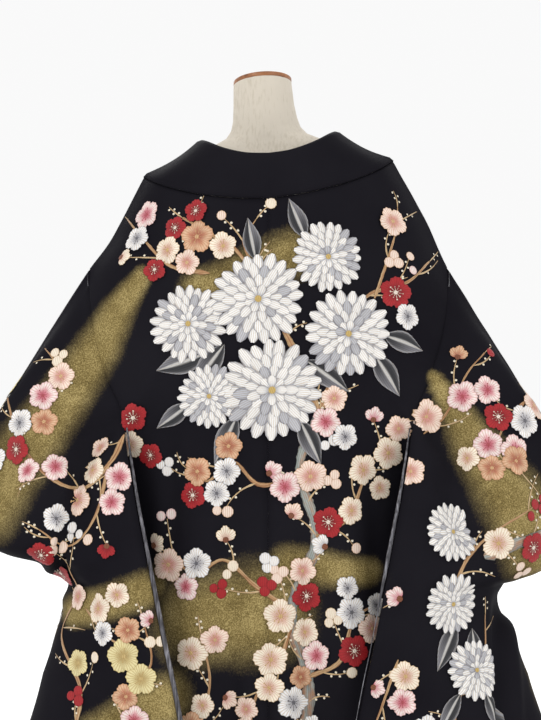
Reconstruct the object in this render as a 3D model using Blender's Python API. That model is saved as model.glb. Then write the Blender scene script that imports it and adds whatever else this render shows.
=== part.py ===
"""Uchikake, the padded over-kimono of a bride, on a limbless dress form.

Metres, +Z up. The origin is the middle of the stand's foot, on the floor. The garment's back
faces +Y and its open front faces -Y; the wearer's left sleeve is at +X. Each cloth piece is a
wall between two grids of points, read from short tables of its sections.
"""

import math

import bpy
import numpy as np

# ---- driving dimensions, metres ----
CLOTH = 0.0025           # wall of silk, padding and lining together
COLLAR_CLOTH = 0.004     # the collar band is folded double
SEAM = 0.0003            # gap between two sewn pieces
ARMPIT_GAP = 0.0025      # further gap where a sleeve leaves the body below the armpit
LEAN = 0.065             # how far the shoulders drop per metre towards the left
LEAN_LOW, LEAN_HIGH = 1.16, 1.25   # heights between which the lean grows
RIDGE_ROUND = 0.10       # depth over which a sleeve rounds over its shoulder fold
CUFF_OPENING = 0.23      # height of the hand opening
CUFF_SPREAD = 0.045      # half of its width
SEWN_HALF_GAP = 0.0028   # half of the distance between a sleeve's outer faces where it is sewn
LAYERS_APART = 0.0060    # least distance between the outer faces of a sleeve's two layers
SLEEVE_FOOT = 0.115      # height of a sleeve's lower fold
ROLL_RADIUS = 0.007      # padded hem roll
EDGE_RADIUS = 0.0045     # rolled lining along a sleeve's open edge
HEM_TOP = 0.0085         # upper face of the train, held off the floor by the hem roll
BODY_CELLS = 9           # grid cells across half of the body
COLLAR_CELLS = 4
OVERLAP_CELLS = 3
SLEEVE_SHARES = (0.0, 0.11, 0.26, 0.42, 0.58, 0.74, 0.88, 1.0)

# Form and stand
NECK_TOP = 1.4866
NECK_BEND = 1.450        # above this height the neck turns into its sloping top
NECK_MIDDLE = 0.0101     # how far the top of the neck stands to the left
NECK_SLOPE = 0.194       # rise of the neck top for each metre towards the back
CAP_THICK = 0.0076
POST_RADIUS = 0.016
BASE_RADIUS = 0.19
BASE_THICK = 0.014
BASE_BEVEL = 0.006
POST_SIDES, BASE_SIDES = 24, 48
FORM_FOOT = 0.80


def columns(names, *rows):
    """A table as one array for each named column."""
    values = np.array(rows, float)
    return {name: values[:, i] for i, name in enumerate(names.split())}


# Half of the back, from the shoulder fold to the train. i is the point on the collar seam or the
# centre-back seam, e the point on the armhole or the side seam.
BACK = columns(
    "xi yi zi xe ye ze square",
    (0.210, 0.020, 1.342, 0.300, 0.040, 1.173, 2.0),
    (0.185, 0.092, 1.324, 0.296, 0.085, 1.120, 2.0),
    (0.118, 0.152, 1.298, 0.285, 0.122, 1.060, 2.0),
    (0.045, 0.183, 1.2835, 0.262, 0.150, 0.990, 2.0),
    (0.000, 0.188, 1.278, 0.235, 0.170, 0.920, 2.1),
    (0.000, 0.199, 1.130, 0.247, 0.115, 0.860, 2.2),
    (0.000, 0.201, 0.990, 0.255, 0.040, 0.800, 2.4),
    (0.000, 0.201, 0.850, 0.257, 0.020, 0.720, 2.5),
    (0.000, 0.201, 0.720, 0.260, 0.020, 0.630, 2.5),
    (0.000, 0.204, 0.600, 0.267, 0.020, 0.540, 2.5),
    (0.000, 0.209, 0.480, 0.280, 0.020, 0.440, 2.5),
    (0.000, 0.219, 0.360, 0.297, 0.022, 0.340, 2.5),
    (0.000, 0.236, 0.250, 0.320, 0.025, 0.240, 2.4),
    (0.000, 0.262, 0.150, 0.345, 0.030, 0.150, 2.4),
    (0.000, 0.300, 0.070, 0.372, 0.035, 0.070, 2.3),
    (0.000, 0.355, 0.022, 0.400, 0.040, 0.022, 2.3),
    (0.000, 0.440, HEM_TOP, 0.430, 0.050, HEM_TOP, 2.3),
    (0.000, 0.540, HEM_TOP, 0.465, 0.060, HEM_TOP, 2.3),
    (0.000, 0.620, HEM_TOP, 0.500, 0.070, HEM_TOP, 2.3),
)

# Half of the front, in the same rows. i is on the collar seam, then on the overlap seam.
FRONT = columns(
    "xi yi zi xe ye ze square",
    (0.210, 0.020, 1.342, 0.300, 0.040, 1.173, 2.0),
    (0.207, -0.035, 1.322, 0.297, -0.005, 1.120, 2.0),
    (0.198, -0.075, 1.270, 0.288, -0.040, 1.060, 2.0),
    (0.190, -0.105, 1.200, 0.272, -0.075, 0.990, 2.0),
    (0.183, -0.125, 1.100, 0.255, -0.100, 0.920, 2.1),
    (0.178, -0.140, 1.000, 0.2555, -0.055, 0.860, 2.2),
    (0.188, -0.146, 0.870, 0.2555, 0.010, 0.800, 2.4),
    (0.194, -0.150, 0.760, 0.257, 0.020, 0.720, 2.5),
    (0.200, -0.154, 0.650, 0.260, 0.020, 0.630, 2.5),
    (0.205, -0.158, 0.550, 0.267, 0.020, 0.540, 2.5),
    (0.210, -0.163, 0.450, 0.280, 0.020, 0.440, 2.5),
    (0.215, -0.172, 0.345, 0.297, 0.022, 0.340, 2.5),
    (0.220, -0.185, 0.245, 0.320, 0.025, 0.240, 2.4),
    (0.226, -0.205, 0.150, 0.345, 0.030, 0.150, 2.4),
    (0.232, -0.230, 0.070, 0.372, 0.035, 0.070, 2.3),
    (0.238, -0.262, 0.022, 0.400, 0.040, 0.022, 2.3),
    (0.243, -0.300, HEM_TOP, 0.430, 0.050, HEM_TOP, 2.3),
    (0.248, -0.335, HEM_TOP, 0.465, 0.060, HEM_TOP, 2.3),
    (0.250, -0.360, HEM_TOP, 0.500, 0.070, HEM_TOP, 2.3),
)
SIDE_SEAM_ROW = 6        # back and front are sewn together from this row down

# Free edge of the collar round the neck. Rows 0 to 4 run from the centre back to the shoulder
# fold, beside rows 4 to 0 of BACK; the rest run down the front beside rows 1 to 8 of FRONT.
COLLAR = columns(
    "x y z belly",
    (0.000, 0.150, 1.356, 0.010),
    (0.030, 0.148, 1.3585, 0.010),
    (0.072, 0.122, 1.372, 0.006),
    (0.102, 0.070, 1.390, -0.002),
    (0.113, 0.010, 1.3975, -0.006),
    (0.110, -0.048, 1.372, -0.002),
    (0.102, -0.094, 1.308, 0.003),
    (0.093, -0.124, 1.226, 0.005),
    (0.083, -0.142, 1.118, 0.004),
    (0.077, -0.153, 1.006, 0.004),
    (0.073, -0.161, 0.870, 0.004),
    (0.071, -0.167, 0.760, 0.003),
    (0.070, -0.171, 0.650, 0.002),
)
NECK_ROWS = 4            # collar rows from the centre back to the shoulder fold
OVERLAP_TOP = 5.25       # the overlap panel's point, in rows of FRONT

# Edge of the overlap panel that faces the wearer's middle, from row 5 of FRONT: along the collar
# first, then free down to the floor.
OVERLAP_COLLAR_EDGE = columns(
    "x y z",
    (0.178, -0.140, 1.000), (0.1755, -0.150, 0.870), (0.174, -0.157, 0.760),
    (0.172, -0.162, 0.650),
)
OVERLAP_FREE_EDGE = columns(
    "x y z",
    (0.070, -0.171, 0.6485), (0.070, -0.173, 0.550), (0.072, -0.180, 0.450),
    (0.075, -0.190, 0.345), (0.078, -0.205, 0.245), (0.082, -0.226, 0.150),
    (0.086, -0.252, 0.070), (0.090, -0.285, 0.022), (0.093, -0.322, HEM_TOP),
    (0.096, -0.356, HEM_TOP), (0.100, -0.380, HEM_TOP),
)

# Sleeve levels. b is the back layer's edge at the body, f the front layer's, o the wrist side;
# the o columns are for the left and the right sleeve.
SLEEVE = columns(
    "z xb yb xf yf xo_left yo_left xo_right yo_right",
    (1.173, 0.300, 0.040, 0.300, 0.040, 0.505, 0.000, 0.505, 0.000),
    (1.120, 0.296, 0.085, 0.297, -0.005, 0.505, 0.000, 0.505, 0.000),
    (1.060, 0.285, 0.122, 0.288, -0.040, 0.505, 0.000, 0.505, 0.000),
    (0.990, 0.262, 0.150, 0.272, -0.075, 0.505, 0.000, 0.505, 0.000),
    (0.920, 0.235, 0.170, 0.255, -0.100, 0.505, 0.000, 0.505, 0.000),
    (0.860, 0.224, 0.200, 0.288, -0.090, 0.505, 0.000, 0.505, 0.000),
    (0.800, 0.213, 0.218, 0.303, -0.065, 0.507, 0.000, 0.509, 0.000),
    (0.750, 0.203, 0.228, 0.308, -0.045, 0.500, -0.003, 0.507, -0.003),
    (0.720, 0.197, 0.232, 0.308, -0.030, 0.484, 0.000, 0.500, -0.002),
    (0.700, 0.193, 0.235, 0.308, -0.018, 0.438, 0.006, 0.492, 0.002),
    (0.685, 0.190, 0.237, 0.307, -0.010, 0.380, 0.014, 0.478, 0.006),
    (0.670, 0.187, 0.239, 0.306, 0.000, 0.359, 0.022, 0.452, 0.012),
    (0.650, 0.183, 0.241, 0.304, 0.012, 0.333, 0.030, 0.392, 0.024),
    (0.620, 0.177, 0.244, 0.300, 0.032, 0.339, 0.036, 0.384, 0.036),
    (0.560, 0.165, 0.249, 0.284, 0.080, 0.356, 0.044, 0.408, 0.046),
    (0.500, 0.152, 0.254, 0.262, 0.130, 0.373, 0.052, 0.431, 0.056),
    (0.400, 0.134, 0.264, 0.215, 0.200, 0.402, 0.064, 0.462, 0.070),
    (0.300, 0.122, 0.284, 0.166, 0.245, 0.424, 0.078, 0.484, 0.084),
    (0.200, 0.113, 0.312, 0.130, 0.290, 0.438, 0.094, 0.500, 0.098),
    (SLEEVE_FOOT, 0.108, 0.340, 0.110, 0.334, 0.446, 0.108, 0.508, 0.110),
)
ARMPIT_ROW = 4           # the sleeve is sewn to the body down to this level
LOOSE_ROW = 12           # from this level down every ring has the same heights
CUFF = np.array((0.505, 0.0, 0.855))

# The hollow between the raised sleeve and its hanging part, seen from the back.
VALLEY = columns(
    "z x",
    (0.984, 0.240), (0.930, 0.268), (0.830, 0.300), (0.767, 0.316), (0.710, 0.330), (0.652, 0.344),
)
VALLEY_DEPTH, VALLEY_WIDTH, WING_BULGE = 0.036, 0.040, 0.026

# Large folds of the skirt: where each lies at the top and at the hem, as a share of the panel's
# width, how deep it is at the hem (a ridge is positive), how wide, and where it starts.
FOLDS = {
    "back left": columns(
        "top hem depth width start",
        (0.10, 0.16, -0.022, 0.075, 0.30),
        (0.30, 0.38, 0.020, 0.090, 0.34),
        (0.52, 0.58, -0.026, 0.085, 0.28),
        (0.74, 0.78, 0.022, 0.080, 0.40),
    ),
    "back right": columns(
        "top hem depth width start",
        (0.12, 0.18, -0.020, 0.080, 0.32),
        (0.32, 0.40, 0.024, 0.085, 0.30),
        (0.55, 0.62, -0.022, 0.080, 0.30),
        (0.76, 0.80, 0.020, 0.080, 0.42),
    ),
    "front left": columns(
        "top hem depth width start",
        (0.26, 0.24, -0.016, 0.090, 0.34),
        (0.50, 0.50, 0.016, 0.090, 0.40),
        (0.74, 0.76, -0.014, 0.080, 0.46),
    ),
    "front right": columns(
        "top hem depth width start",
        (0.24, 0.22, -0.014, 0.090, 0.36),
        (0.47, 0.47, 0.018, 0.085, 0.38),
        (0.72, 0.75, -0.016, 0.080, 0.44),
    ),
}
FOLD_FLAT = (0.70, 0.90)  # a fold dies out between these shares of the length, on the floor

# Dress form rings: height, half width, half depth, and the centre's x and y
FORM = columns(
    "z a b x y",
    (FORM_FOOT, 0.130, 0.088, 0.0, 0.0), (0.83, 0.152, 0.102, 0.0, 0.0), (0.88, 0.160, 0.108, 0.0, 0.0),
    (0.95, 0.146, 0.100, 0.0, 0.0), (1.03, 0.126, 0.088, 0.0, 0.0), (1.12, 0.142, 0.100, 0.0, -0.004),
    (1.20, 0.162, 0.112, 0.0, -0.006), (1.27, 0.178, 0.104, 0.0, -0.002),
    (1.3200, 0.1845, 0.088, 0.0, 0.002), (1.3440, 0.178, 0.072, 0.0, 0.005),
    (1.3610, 0.158, 0.060, 0.0, 0.006), (1.3755, 0.126, 0.055, 0.0, 0.006),
    (1.3875, 0.092, 0.053, 0.0015, 0.005), (1.3985, 0.069, 0.054, 0.003, 0.003),
    (1.4110, 0.0590, 0.0545, 0.0045, 0.001), (1.4270, 0.0545, 0.0545, 0.0057, 0.0),
    (NECK_BEND, 0.0515, 0.0525, 0.0079, 0.0), (NECK_TOP, 0.0492, 0.0495, NECK_MIDDLE, 0.0),
)
FORM_SIDES = 36
CAP_RINGS = columns(
    "z r",
    (0.0, 0.0484), (0.0012, 0.0492), (0.0062, 0.0490), (CAP_THICK, 0.0474), (0.0098, 0.030),
)


# ---- reading the tables ----
def smooth_read(values, at):
    """Monotone cubic through values at 0, 1, 2 ..., read at the places in at."""
    v = np.asarray(values, float)
    step = np.diff(v)
    slope = np.zeros_like(v)
    same = step[:-1] * step[1:] > 0
    slope[1:-1][same] = 2 * step[:-1][same] * step[1:][same] / (step[:-1][same] + step[1:][same])
    slope[0], slope[-1] = step[0], step[-1]
    k = np.clip(np.floor(at).astype(int), 0, len(v) - 2)
    t = at - k
    h00, h10 = (1 + 2 * t) * (1 - t) ** 2, t * (1 - t) ** 2
    h01, h11 = t * t * (3 - 2 * t), t * t * (t - 1)
    return h00 * v[k] + h10 * slope[k] + h01 * v[k + 1] + h11 * slope[k + 1]


def smooth_step(x, low, high):
    t = np.clip((np.asarray(x, float) - low) / (high - low), 0, 1)
    return t * t * (3 - 2 * t)


def lean(points):
    """The whole upper part drops a little towards the left shoulder."""
    out = points.copy()
    out[..., 2] -= LEAN * out[..., 0] * smooth_step(out[..., 2], LEAN_LOW, LEAN_HIGH)
    return out


def tip(points):
    """The form's neck is cut at a slope, so that its top faces a little forward."""
    out = points.copy()
    out[..., 2] += NECK_SLOPE * out[..., 1] * smooth_step(out[..., 2], NECK_BEND, NECK_TOP)
    return out


# ---- surfaces ----
def quarter(inner, outer, square, share):
    """Points on a quarter of a rounded rectangle from inner, where it runs along X, to outer."""
    bend = 2 / square
    across = np.sin(share * math.pi / 2) ** bend
    back = np.cos(share * math.pi / 2) ** bend
    x = inner[0] + (outer[0] - inner[0]) * across
    y = outer[1] + (inner[1] - outer[1]) * back
    z = inner[2] + (outer[2] - inner[2]) * across
    return np.stack([x, y, z], -1)


def inward(grid, closed=False):
    """Unit normals towards the inside of the garment, at the points of a grid."""
    if closed:
        grid = np.concatenate([grid[-1:], grid, grid[:1]])
    normal = np.cross(np.gradient(grid, axis=0), np.gradient(grid, axis=1))
    normal = normal / np.maximum(np.linalg.norm(normal, axis=2, keepdims=True), 1e-12)
    return normal[1:-1] if closed else normal


def level_with(normals, axis):
    """The same directions with nothing along one axis, so two edges can face each other."""
    flat = normals.copy()
    flat[..., axis] = 0
    return flat / np.linalg.norm(flat, axis=-1, keepdims=True)


def row_places(rows):
    """Places of grid rows in a table of so many rows: close together above the side seam."""
    upper = np.arange(0.5, SIDE_SEAM_ROW, 0.5)
    return np.concatenate([[0, 0.2], upper, np.arange(SIDE_SEAM_ROW, rows)])


BODY_PLACES = row_places(len(BACK["xi"]))
SLEEVE_PLACES = row_places(len(SLEEVE["z"]))
RIDGE = len(BODY_PLACES) - 1     # the shoulder fold's row in a body strip


def row_at(place):
    """How many grid rows lie between the shoulder fold and a place in the tables."""
    return int(np.searchsorted(BODY_PLACES, place))


def body_half(table, places, shares, folds):
    """A front or a back half at the left side, as rows of points from the ridge to the hem."""
    read = {name: smooth_read(column, places) for name, column in table.items()}
    grid = []
    for k in range(len(places)):
        inner = (read["xi"][k], read["yi"][k], read["zi"][k])
        outer = (read["xe"][k], read["ye"][k], read["ze"][k])
        grid.append(quarter(inner, outer, read["square"][k], shares))
    grid = np.array(grid)
    down = (places / (len(table["xi"]) - 1))[:, None]
    push = np.zeros(grid.shape[:2])
    for top, hem, depth, width, start in zip(*folds.values()):
        middle = top + (hem - top) * down
        grown = smooth_step(down, start, FOLD_FLAT[0]) * (1 - smooth_step(down, *FOLD_FLAT))
        push += depth * grown * np.exp(-(((shares[None] - middle) / width) ** 2))
    push *= smooth_step(1 - shares, 0, 0.06)
    outward = np.zeros_like(grid)
    outward[..., 0] = grid[..., 0] - grid[:, :1, 0]
    outward[..., 1] = grid[..., 1] - grid[:, -1:, 1]
    size = np.linalg.norm(outward, axis=2, keepdims=True)
    return grid + outward / np.maximum(size, 1e-9) * push[..., None]


def body_strip(word):
    """One side of the body, from the front hem over the shoulder to the train."""
    shares = np.linspace(0, 1, BODY_CELLS + 1)
    back = body_half(BACK, BODY_PLACES, shares, FOLDS["back " + word])
    front = body_half(FRONT, BODY_PLACES, shares, FOLDS["front " + word])
    sewn = BODY_PLACES >= SIDE_SEAM_ROW
    back[sewn, -1, 1] += SEAM / 2
    front[sewn, -1, 1] -= SEAM / 2
    return np.concatenate([front[:0:-1], back])


def read_edge(column, body_column, places):
    """A sleeve edge at the body: the body's own armhole first, then the sleeve's open edge."""
    return np.where(places <= ARMPIT_ROW, smooth_read(body_column, np.minimum(places, ARMPIT_ROW)),
                    smooth_read(column, places))


def sleeve_layer(side, share, layer):
    """Points down the back ("b") or the front ("f") layer at one share of the width."""
    places = SLEEVE_PLACES
    body = BACK if layer == "b" else FRONT
    z_edge = read_edge(SLEEVE["z"], BACK["ze"], places)
    edge_x = read_edge(SLEEVE["x" + layer], body["xe"], places)
    edge_y = read_edge(SLEEVE["y" + layer], body["ye"], places)
    ridge = np.array([BACK[c][0] for c in ("xe", "ye", "ze")])
    ridge = ridge + (CUFF - ridge) * share
    loose = SLEEVE["z"][LOOSE_ROW]
    scale = (ridge[2] - loose) / (SLEEVE["z"][0] - loose)
    z = np.where(places <= LOOSE_ROW, loose + (z_edge - loose) * scale, z_edge)
    level = np.interp(-z, -SLEEVE["z"], np.arange(len(SLEEVE["z"])))
    hand = "left" if side > 0 else "right"
    out_x, out_y = smooth_read(SLEEVE["xo_" + hand], level), smooth_read(SLEEVE["yo_" + hand], level)
    away = 1 if layer == "b" else -1
    below_cuff = np.clip((CUFF[2] - z) / CUFF_OPENING, 0, 1)
    spread = CUFF_SPREAD * np.sin(math.pi * below_cuff) ** 0.8 + SEWN_HALF_GAP
    across = share ** 0.9 if layer == "f" else math.sin(share * math.pi / 2) ** 0.9
    back = 1 - share ** 1.2 if layer == "f" else math.cos(share * math.pi / 2) ** 0.9
    x = edge_x + (out_x - edge_x) * across
    y = out_y + (edge_y - out_y) * back + away * spread * share ** 3
    if layer == "b":
        middle = np.interp(-z, -VALLEY["z"], VALLEY["x"])
        near = np.exp(-(((x - middle) / VALLEY_WIDTH) ** 2))
        near = near * smooth_step(z, 0.62, 0.78) * (1 - smooth_step(z, 0.90, 1.0))
        y = y - VALLEY_DEPTH * near * smooth_step(share, 0.0, 0.15)
        y = y + WING_BULGE * math.sin(math.pi * share) * smooth_step(z, 0.60, 0.78)
    if share > 0:
        depth = np.clip((ridge[2] - z) / RIDGE_ROUND, 0, 1)
        x = ridge[0] + (x - ridge[0]) * smooth_step(depth, 0, 1)
        y = ridge[1] + (y - ridge[1]) * np.sqrt(1 - (1 - depth) ** 2)
    return np.stack([x, y, z], -1)


def sleeve_ring(side, share):
    """A closed loop round the sleeve: down its back layer, under the lower fold, up its front."""
    down, up = sleeve_layer(side, share, "b"), sleeve_layer(side, share, "f")
    space = down[1:, 1] - up[1:, 1]
    short = np.maximum(LAYERS_APART - space, 0) / 2
    down[1:, 1] += short
    up[1:, 1] -= short
    fold = (down[-1:] + up[-1:]) / 2 - np.array((0, 0, 0.006))
    return np.concatenate([down, fold, up[:0:-1]])


# ---- making objects ----
def material(name, colour, roughness, metallic=0.0):
    made = bpy.data.materials.new(name)
    made.use_nodes = True
    shader = made.node_tree.nodes["Principled BSDF"]
    shader.inputs["Base Color"].default_value = (*colour, 1.0)
    shader.inputs["Roughness"].default_value = roughness
    shader.inputs["Metallic"].default_value = metallic
    return made


def mesh_object(name, points, faces, finish):
    mesh = bpy.data.meshes.new(name)
    mesh.from_pydata([tuple(p) for p in points], [], faces)
    mesh.update()
    mesh.shade_smooth()
    made = bpy.data.objects.new(name, mesh)
    bpy.context.scene.collection.objects.link(made)
    made.data.materials.append(finish)
    return made


def wall(name, outer, inner, finish, side=1, closed=False):
    """A closed cloth wall between two grids; closed joins the last row to the first."""
    if side < 0:
        mirror = np.array((-1, 1, 1))
        outer, inner = outer[:, ::-1] * mirror, inner[:, ::-1] * mirror
    rows, cols = outer.shape[:2]
    count = rows * cols
    faces = []
    last = rows if closed else rows - 1
    for r in range(last):
        below = (r + 1) % rows
        for c in range(cols - 1):
            here, under = r * cols + c, below * cols + c
            for corner in ((here, here + 1, under + 1), (here, under + 1, under)):
                faces.append(corner)
                faces.append(tuple(count + k for k in corner[::-1]))
        for c, turned in ((0, False), (cols - 1, True)):
            here, under = r * cols + c, below * cols + c
            for corner in ((here, under, count + under), (here, count + under, count + here)):
                faces.append(corner[::-1] if turned else corner)
    if not closed:
        for r, turned in ((0, True), (rows - 1, False)):
            for c in range(cols - 1):
                here = r * cols + c
                quad = (here, here + 1, count + here + 1, count + here)
                faces.append(quad[::-1] if turned else quad)
    points = np.concatenate([outer.reshape(-1, 3), inner.reshape(-1, 3)])
    made = mesh_object(name, points, faces, finish)
    made.data.set_sharp_from_angle(angle=math.radians(60))
    return made


def pull_in(grid, column, gap, first=0, last=None):
    """Moves one side of a grid inwards by a seam's gap."""
    beside = 1 if column == 0 else -2
    rows = slice(first, last)
    step = grid[rows, beside] - grid[rows, column]
    length = np.linalg.norm(step, axis=-1, keepdims=True)
    grid[rows, column] += step / np.maximum(length, 1e-9) * gap


def tube(name, path, radius, sides, finish):
    """A round padded roll along a path, with flat ends."""
    path = np.asarray(path, float)
    along = np.gradient(path, axis=0)
    along /= np.linalg.norm(along, axis=1, keepdims=True)
    side = np.cross(along, (0, 0, 1))
    flat = np.linalg.norm(side, axis=1, keepdims=True)
    side = np.where(flat > 0.3, side / np.maximum(flat, 1e-9), np.cross(along, (0, 1, 0)))
    side /= np.linalg.norm(side, axis=1, keepdims=True)
    up = np.cross(side, along)
    turn = np.linspace(0, 2 * math.pi, sides, endpoint=False)[None, :, None]
    rings = path[:, None] + radius * (np.cos(turn) * side[:, None] - np.sin(turn) * up[:, None])
    return lofted(name, rings, finish, 40)


def lofted(name, rings, finish, sharp):
    """A closed solid through rings of points, with flat ends."""
    count, sides = rings.shape[:2]
    faces = []
    for r in range(count - 1):
        for s in range(sides):
            after = (s + 1) % sides
            faces.append((r * sides + s, r * sides + after,
                          (r + 1) * sides + after, (r + 1) * sides + s))
    faces.append(tuple(range(sides))[::-1])
    faces.append(tuple((count - 1) * sides + s for s in range(sides)))
    made = mesh_object(name, rings.reshape(-1, 3), faces, finish)
    made.data.set_sharp_from_angle(angle=math.radians(sharp))
    return made


def rounds(heights, half_widths, half_depths, centres, sides):
    """Elliptical rings of points, counter-clockwise seen from above."""
    turn = np.linspace(0, 2 * math.pi, sides, endpoint=False)
    rows = [np.stack([a * np.cos(turn), y + b * np.sin(turn), np.full(sides, z)], -1)
            for z, a, b, y in zip(heights, half_widths, half_depths, centres)]
    return np.array(rows)


# ---- the pieces ----
def body_panel(side, name, silk):
    """A half of the body, one length of silk from the front hem to the train."""
    mirror = np.array((side, 1, 1))
    word = "left" if side > 0 else "right"
    strip = lean(body_strip(word) * mirror) * mirror
    into = inward(strip)
    centre = slice(RIDGE + row_at(NECK_ROWS), None)
    into[centre, 0] = level_with(into[centre, 0], 0)
    sewn = np.abs(np.arange(len(strip)) - RIDGE) >= row_at(SIDE_SEAM_ROW)
    into[sewn, -1] = level_with(into[sewn, -1], 1)
    shape = {"points": strip.copy(), "into": into}
    pull_in(strip, 0, SEAM * 0.7)
    armpit = row_at(ARMPIT_ROW)
    pull_in(strip, -1, SEAM * 0.7, RIDGE - armpit, RIDGE + armpit + 1)
    wall(name, strip, strip + into * CLOTH, silk, side)
    return shape


def collar_band(shapes, silk):
    """One double band round the neck and down both fronts."""
    neck = np.arange(RIDGE + row_at(NECK_ROWS), RIDGE - row_at(5) - 1, -1)
    beside = np.concatenate([NECK_ROWS - BODY_PLACES[row_at(NECK_ROWS):0:-1],
                             NECK_ROWS + BODY_PLACES[:row_at(5) + 1]])
    lower = np.array((0.5, 1, 2, 3))
    places = np.concatenate([beside, beside[-1] + lower])
    edge = np.stack([smooth_read(OVERLAP_COLLAR_EDGE[c], lower) for c in "xyz"], -1)
    free = np.stack([smooth_read(COLLAR[c], places) for c in "xyz"], -1)
    belly = smooth_read(COLLAR["belly"], places)
    shares = np.linspace(0, 1, COLLAR_CELLS + 1)
    rows, rims = {}, {}
    for side in (1, -1):
        mirror = np.array((side, 1, 1))
        shape = shapes[side]
        outer = np.concatenate([shape["points"][neck, 0], edge])
        rim = shape["into"][neck, 0]
        other = lean(free * mirror) * mirror
        rows[side] = mirror * (outer[:, None] + (other - outer)[:, None] * shares[None, :, None])
        rims[side] = mirror * np.concatenate([rim, np.repeat(rim[-1:], len(edge), 0)])
    grid = np.concatenate([rows[-1][:0:-1], rows[1]])
    belly = np.concatenate([belly[:0:-1], belly])
    grid = grid - inward(grid) * (belly[:, None] * np.sin(math.pi * shares)[None])[..., None]
    into = inward(grid)
    into[:, 0] = np.concatenate([rims[-1][:0:-1], rims[1]])
    pull_in(grid, 0, SEAM * 0.7)
    grid[[0, -1], :, 2] += SEAM * 2
    wall("collar", grid - into * COLLAR_CLOTH, grid, silk)


def overlap_panel(side, name, shape, silk):
    """The narrow front panel between the body's front and the open middle."""
    top = OVERLAP_TOP - 5
    rows = RIDGE - np.array([row_at(place) for place in (5, 5.5, 6, 7, 8)])
    rows = np.concatenate([rows, rows[-1:], np.arange(rows[-1] - 1, -1, -1)])
    seam, into_seam = shape["points"][rows, 0].copy(), shape["into"][rows, 0]
    seam[5] -= (0, 0, 0.0015)
    edge = [smooth_read(OVERLAP_COLLAR_EDGE[c], np.array((0, 0.5, 1, 2, 3))) for c in "xyz"]
    free = [OVERLAP_FREE_EDGE[c] for c in "xyz"]
    edge = np.concatenate([np.stack(edge, -1), np.stack(free, -1)])
    for line in (seam, edge):
        line[0] += (line[1] - line[0]) * 2 * top
    shares = np.linspace(0, 1, OVERLAP_CELLS + 1)
    grid = edge[:, None] + (seam - edge)[:, None] * shares[None, :, None]
    grid = grid[::-1]
    into = inward(grid)
    into[:, -1] = into_seam[::-1]
    hem = grid[0].copy()
    pull_in(grid, 0, SEAM * 1.5)
    pull_in(grid, -1, SEAM * 0.7)
    wall(name, grid, grid + into * CLOTH, silk, side)
    return hem


def sleeve(side, name, shape, silk):
    """One big hanging sleeve, a tube open at the hand and beside the body."""
    mirror = np.array((side, 1, 1))
    rings = np.stack([sleeve_ring(side, share) for share in SLEEVE_SHARES], 1)
    rings = lean(rings * mirror) * mirror
    into = inward(rings, closed=True)
    sewn = row_at(ARMPIT_ROW)
    into[:sewn + 1, 0] = shape["into"][RIDGE:RIDGE + sewn + 1, -1]
    into[-sewn:, 0] = shape["into"][RIDGE - sewn:RIDGE, -1]
    into[sewn + 1:-sewn, 0] = into[sewn + 1:-sewn, 1]
    low = rings[:, -1, 2] < CUFF[2] - CUFF_OPENING
    back = np.arange(len(rings)) < len(rings) // 2
    into[low, -1] = np.where(back[low, None], (0, -1, 0), (0, 1, 0))
    into[len(SLEEVE_PLACES)] = (0, 0, 1)
    pull_in(rings, 0, SEAM * 0.7)
    pull_in(rings, 0, ARMPIT_GAP, sewn, 1 - sewn)
    pull_in(rings, 0, SEAM, 0, 1)
    wall(name, rings, rings + into * CLOTH, silk, side, closed=True)
    open_edge = slice(sewn + 1, len(SLEEVE_PLACES) - 1)
    away = rings[open_edge, 0] - rings[open_edge, 1]
    away /= np.linalg.norm(away, axis=1, keepdims=True)
    path = rings[open_edge, 0] + into[open_edge, 0] * CLOTH / 2
    return (path + away * (EDGE_RADIUS + SEAM * 3)) * mirror


def hem_path(shapes, overlap_hems):
    """The hem roll's middle line, from the left front corner round the train to the right one."""
    sides = []
    for side in (1, -1):
        strip = shapes[side]["points"]
        front, back = strip[0], strip[-1][::-1]
        sides.append(np.concatenate([overlap_hems[side][:-1], front, back[1:]]) * (side, 1, 1))
    line = np.concatenate([sides[0], sides[1][-2::-1]])
    along = np.gradient(line, axis=0)
    away = np.stack([along[:, 1], -along[:, 0], along[:, 0] * 0], -1)
    away /= np.linalg.norm(away, axis=1, keepdims=True)
    line = line + away * (ROLL_RADIUS + SEAM * 3)
    line[:, 2] = ROLL_RADIUS + SEAM
    return line


def dress_form(linen, wood, steel):
    """A limbless torso of linen with a wooden neck cap, on a post and a round foot."""
    torso = rounds(FORM["z"], FORM["a"], FORM["b"], FORM["y"], FORM_SIDES)
    torso[..., 0] += FORM["x"][:, None]
    lofted("form_torso", lean(tip(torso)), linen, 50)
    cap_foot = NECK_TOP + SEAM
    middle = np.zeros(len(CAP_RINGS["z"]))
    cap = rounds(cap_foot + CAP_RINGS["z"], CAP_RINGS["r"], CAP_RINGS["r"], middle, FORM_SIDES)
    cap[..., 0] += NECK_MIDDLE
    lofted("neck_cap", lean(tip(cap)), wood, 35)
    post_ends = (BASE_THICK + SEAM, FORM_FOOT - SEAM)
    post = rounds(post_ends, [POST_RADIUS] * 2, [POST_RADIUS] * 2, (0, 0), POST_SIDES)
    lofted("stand_post", post, steel, 35)
    base_radii = (BASE_RADIUS, BASE_RADIUS, BASE_RADIUS - BASE_BEVEL)
    base = rounds((0, BASE_THICK * 0.6, BASE_THICK), base_radii, base_radii, (0, 0, 0), BASE_SIDES)
    lofted("stand_base", base, steel, 35)


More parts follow.
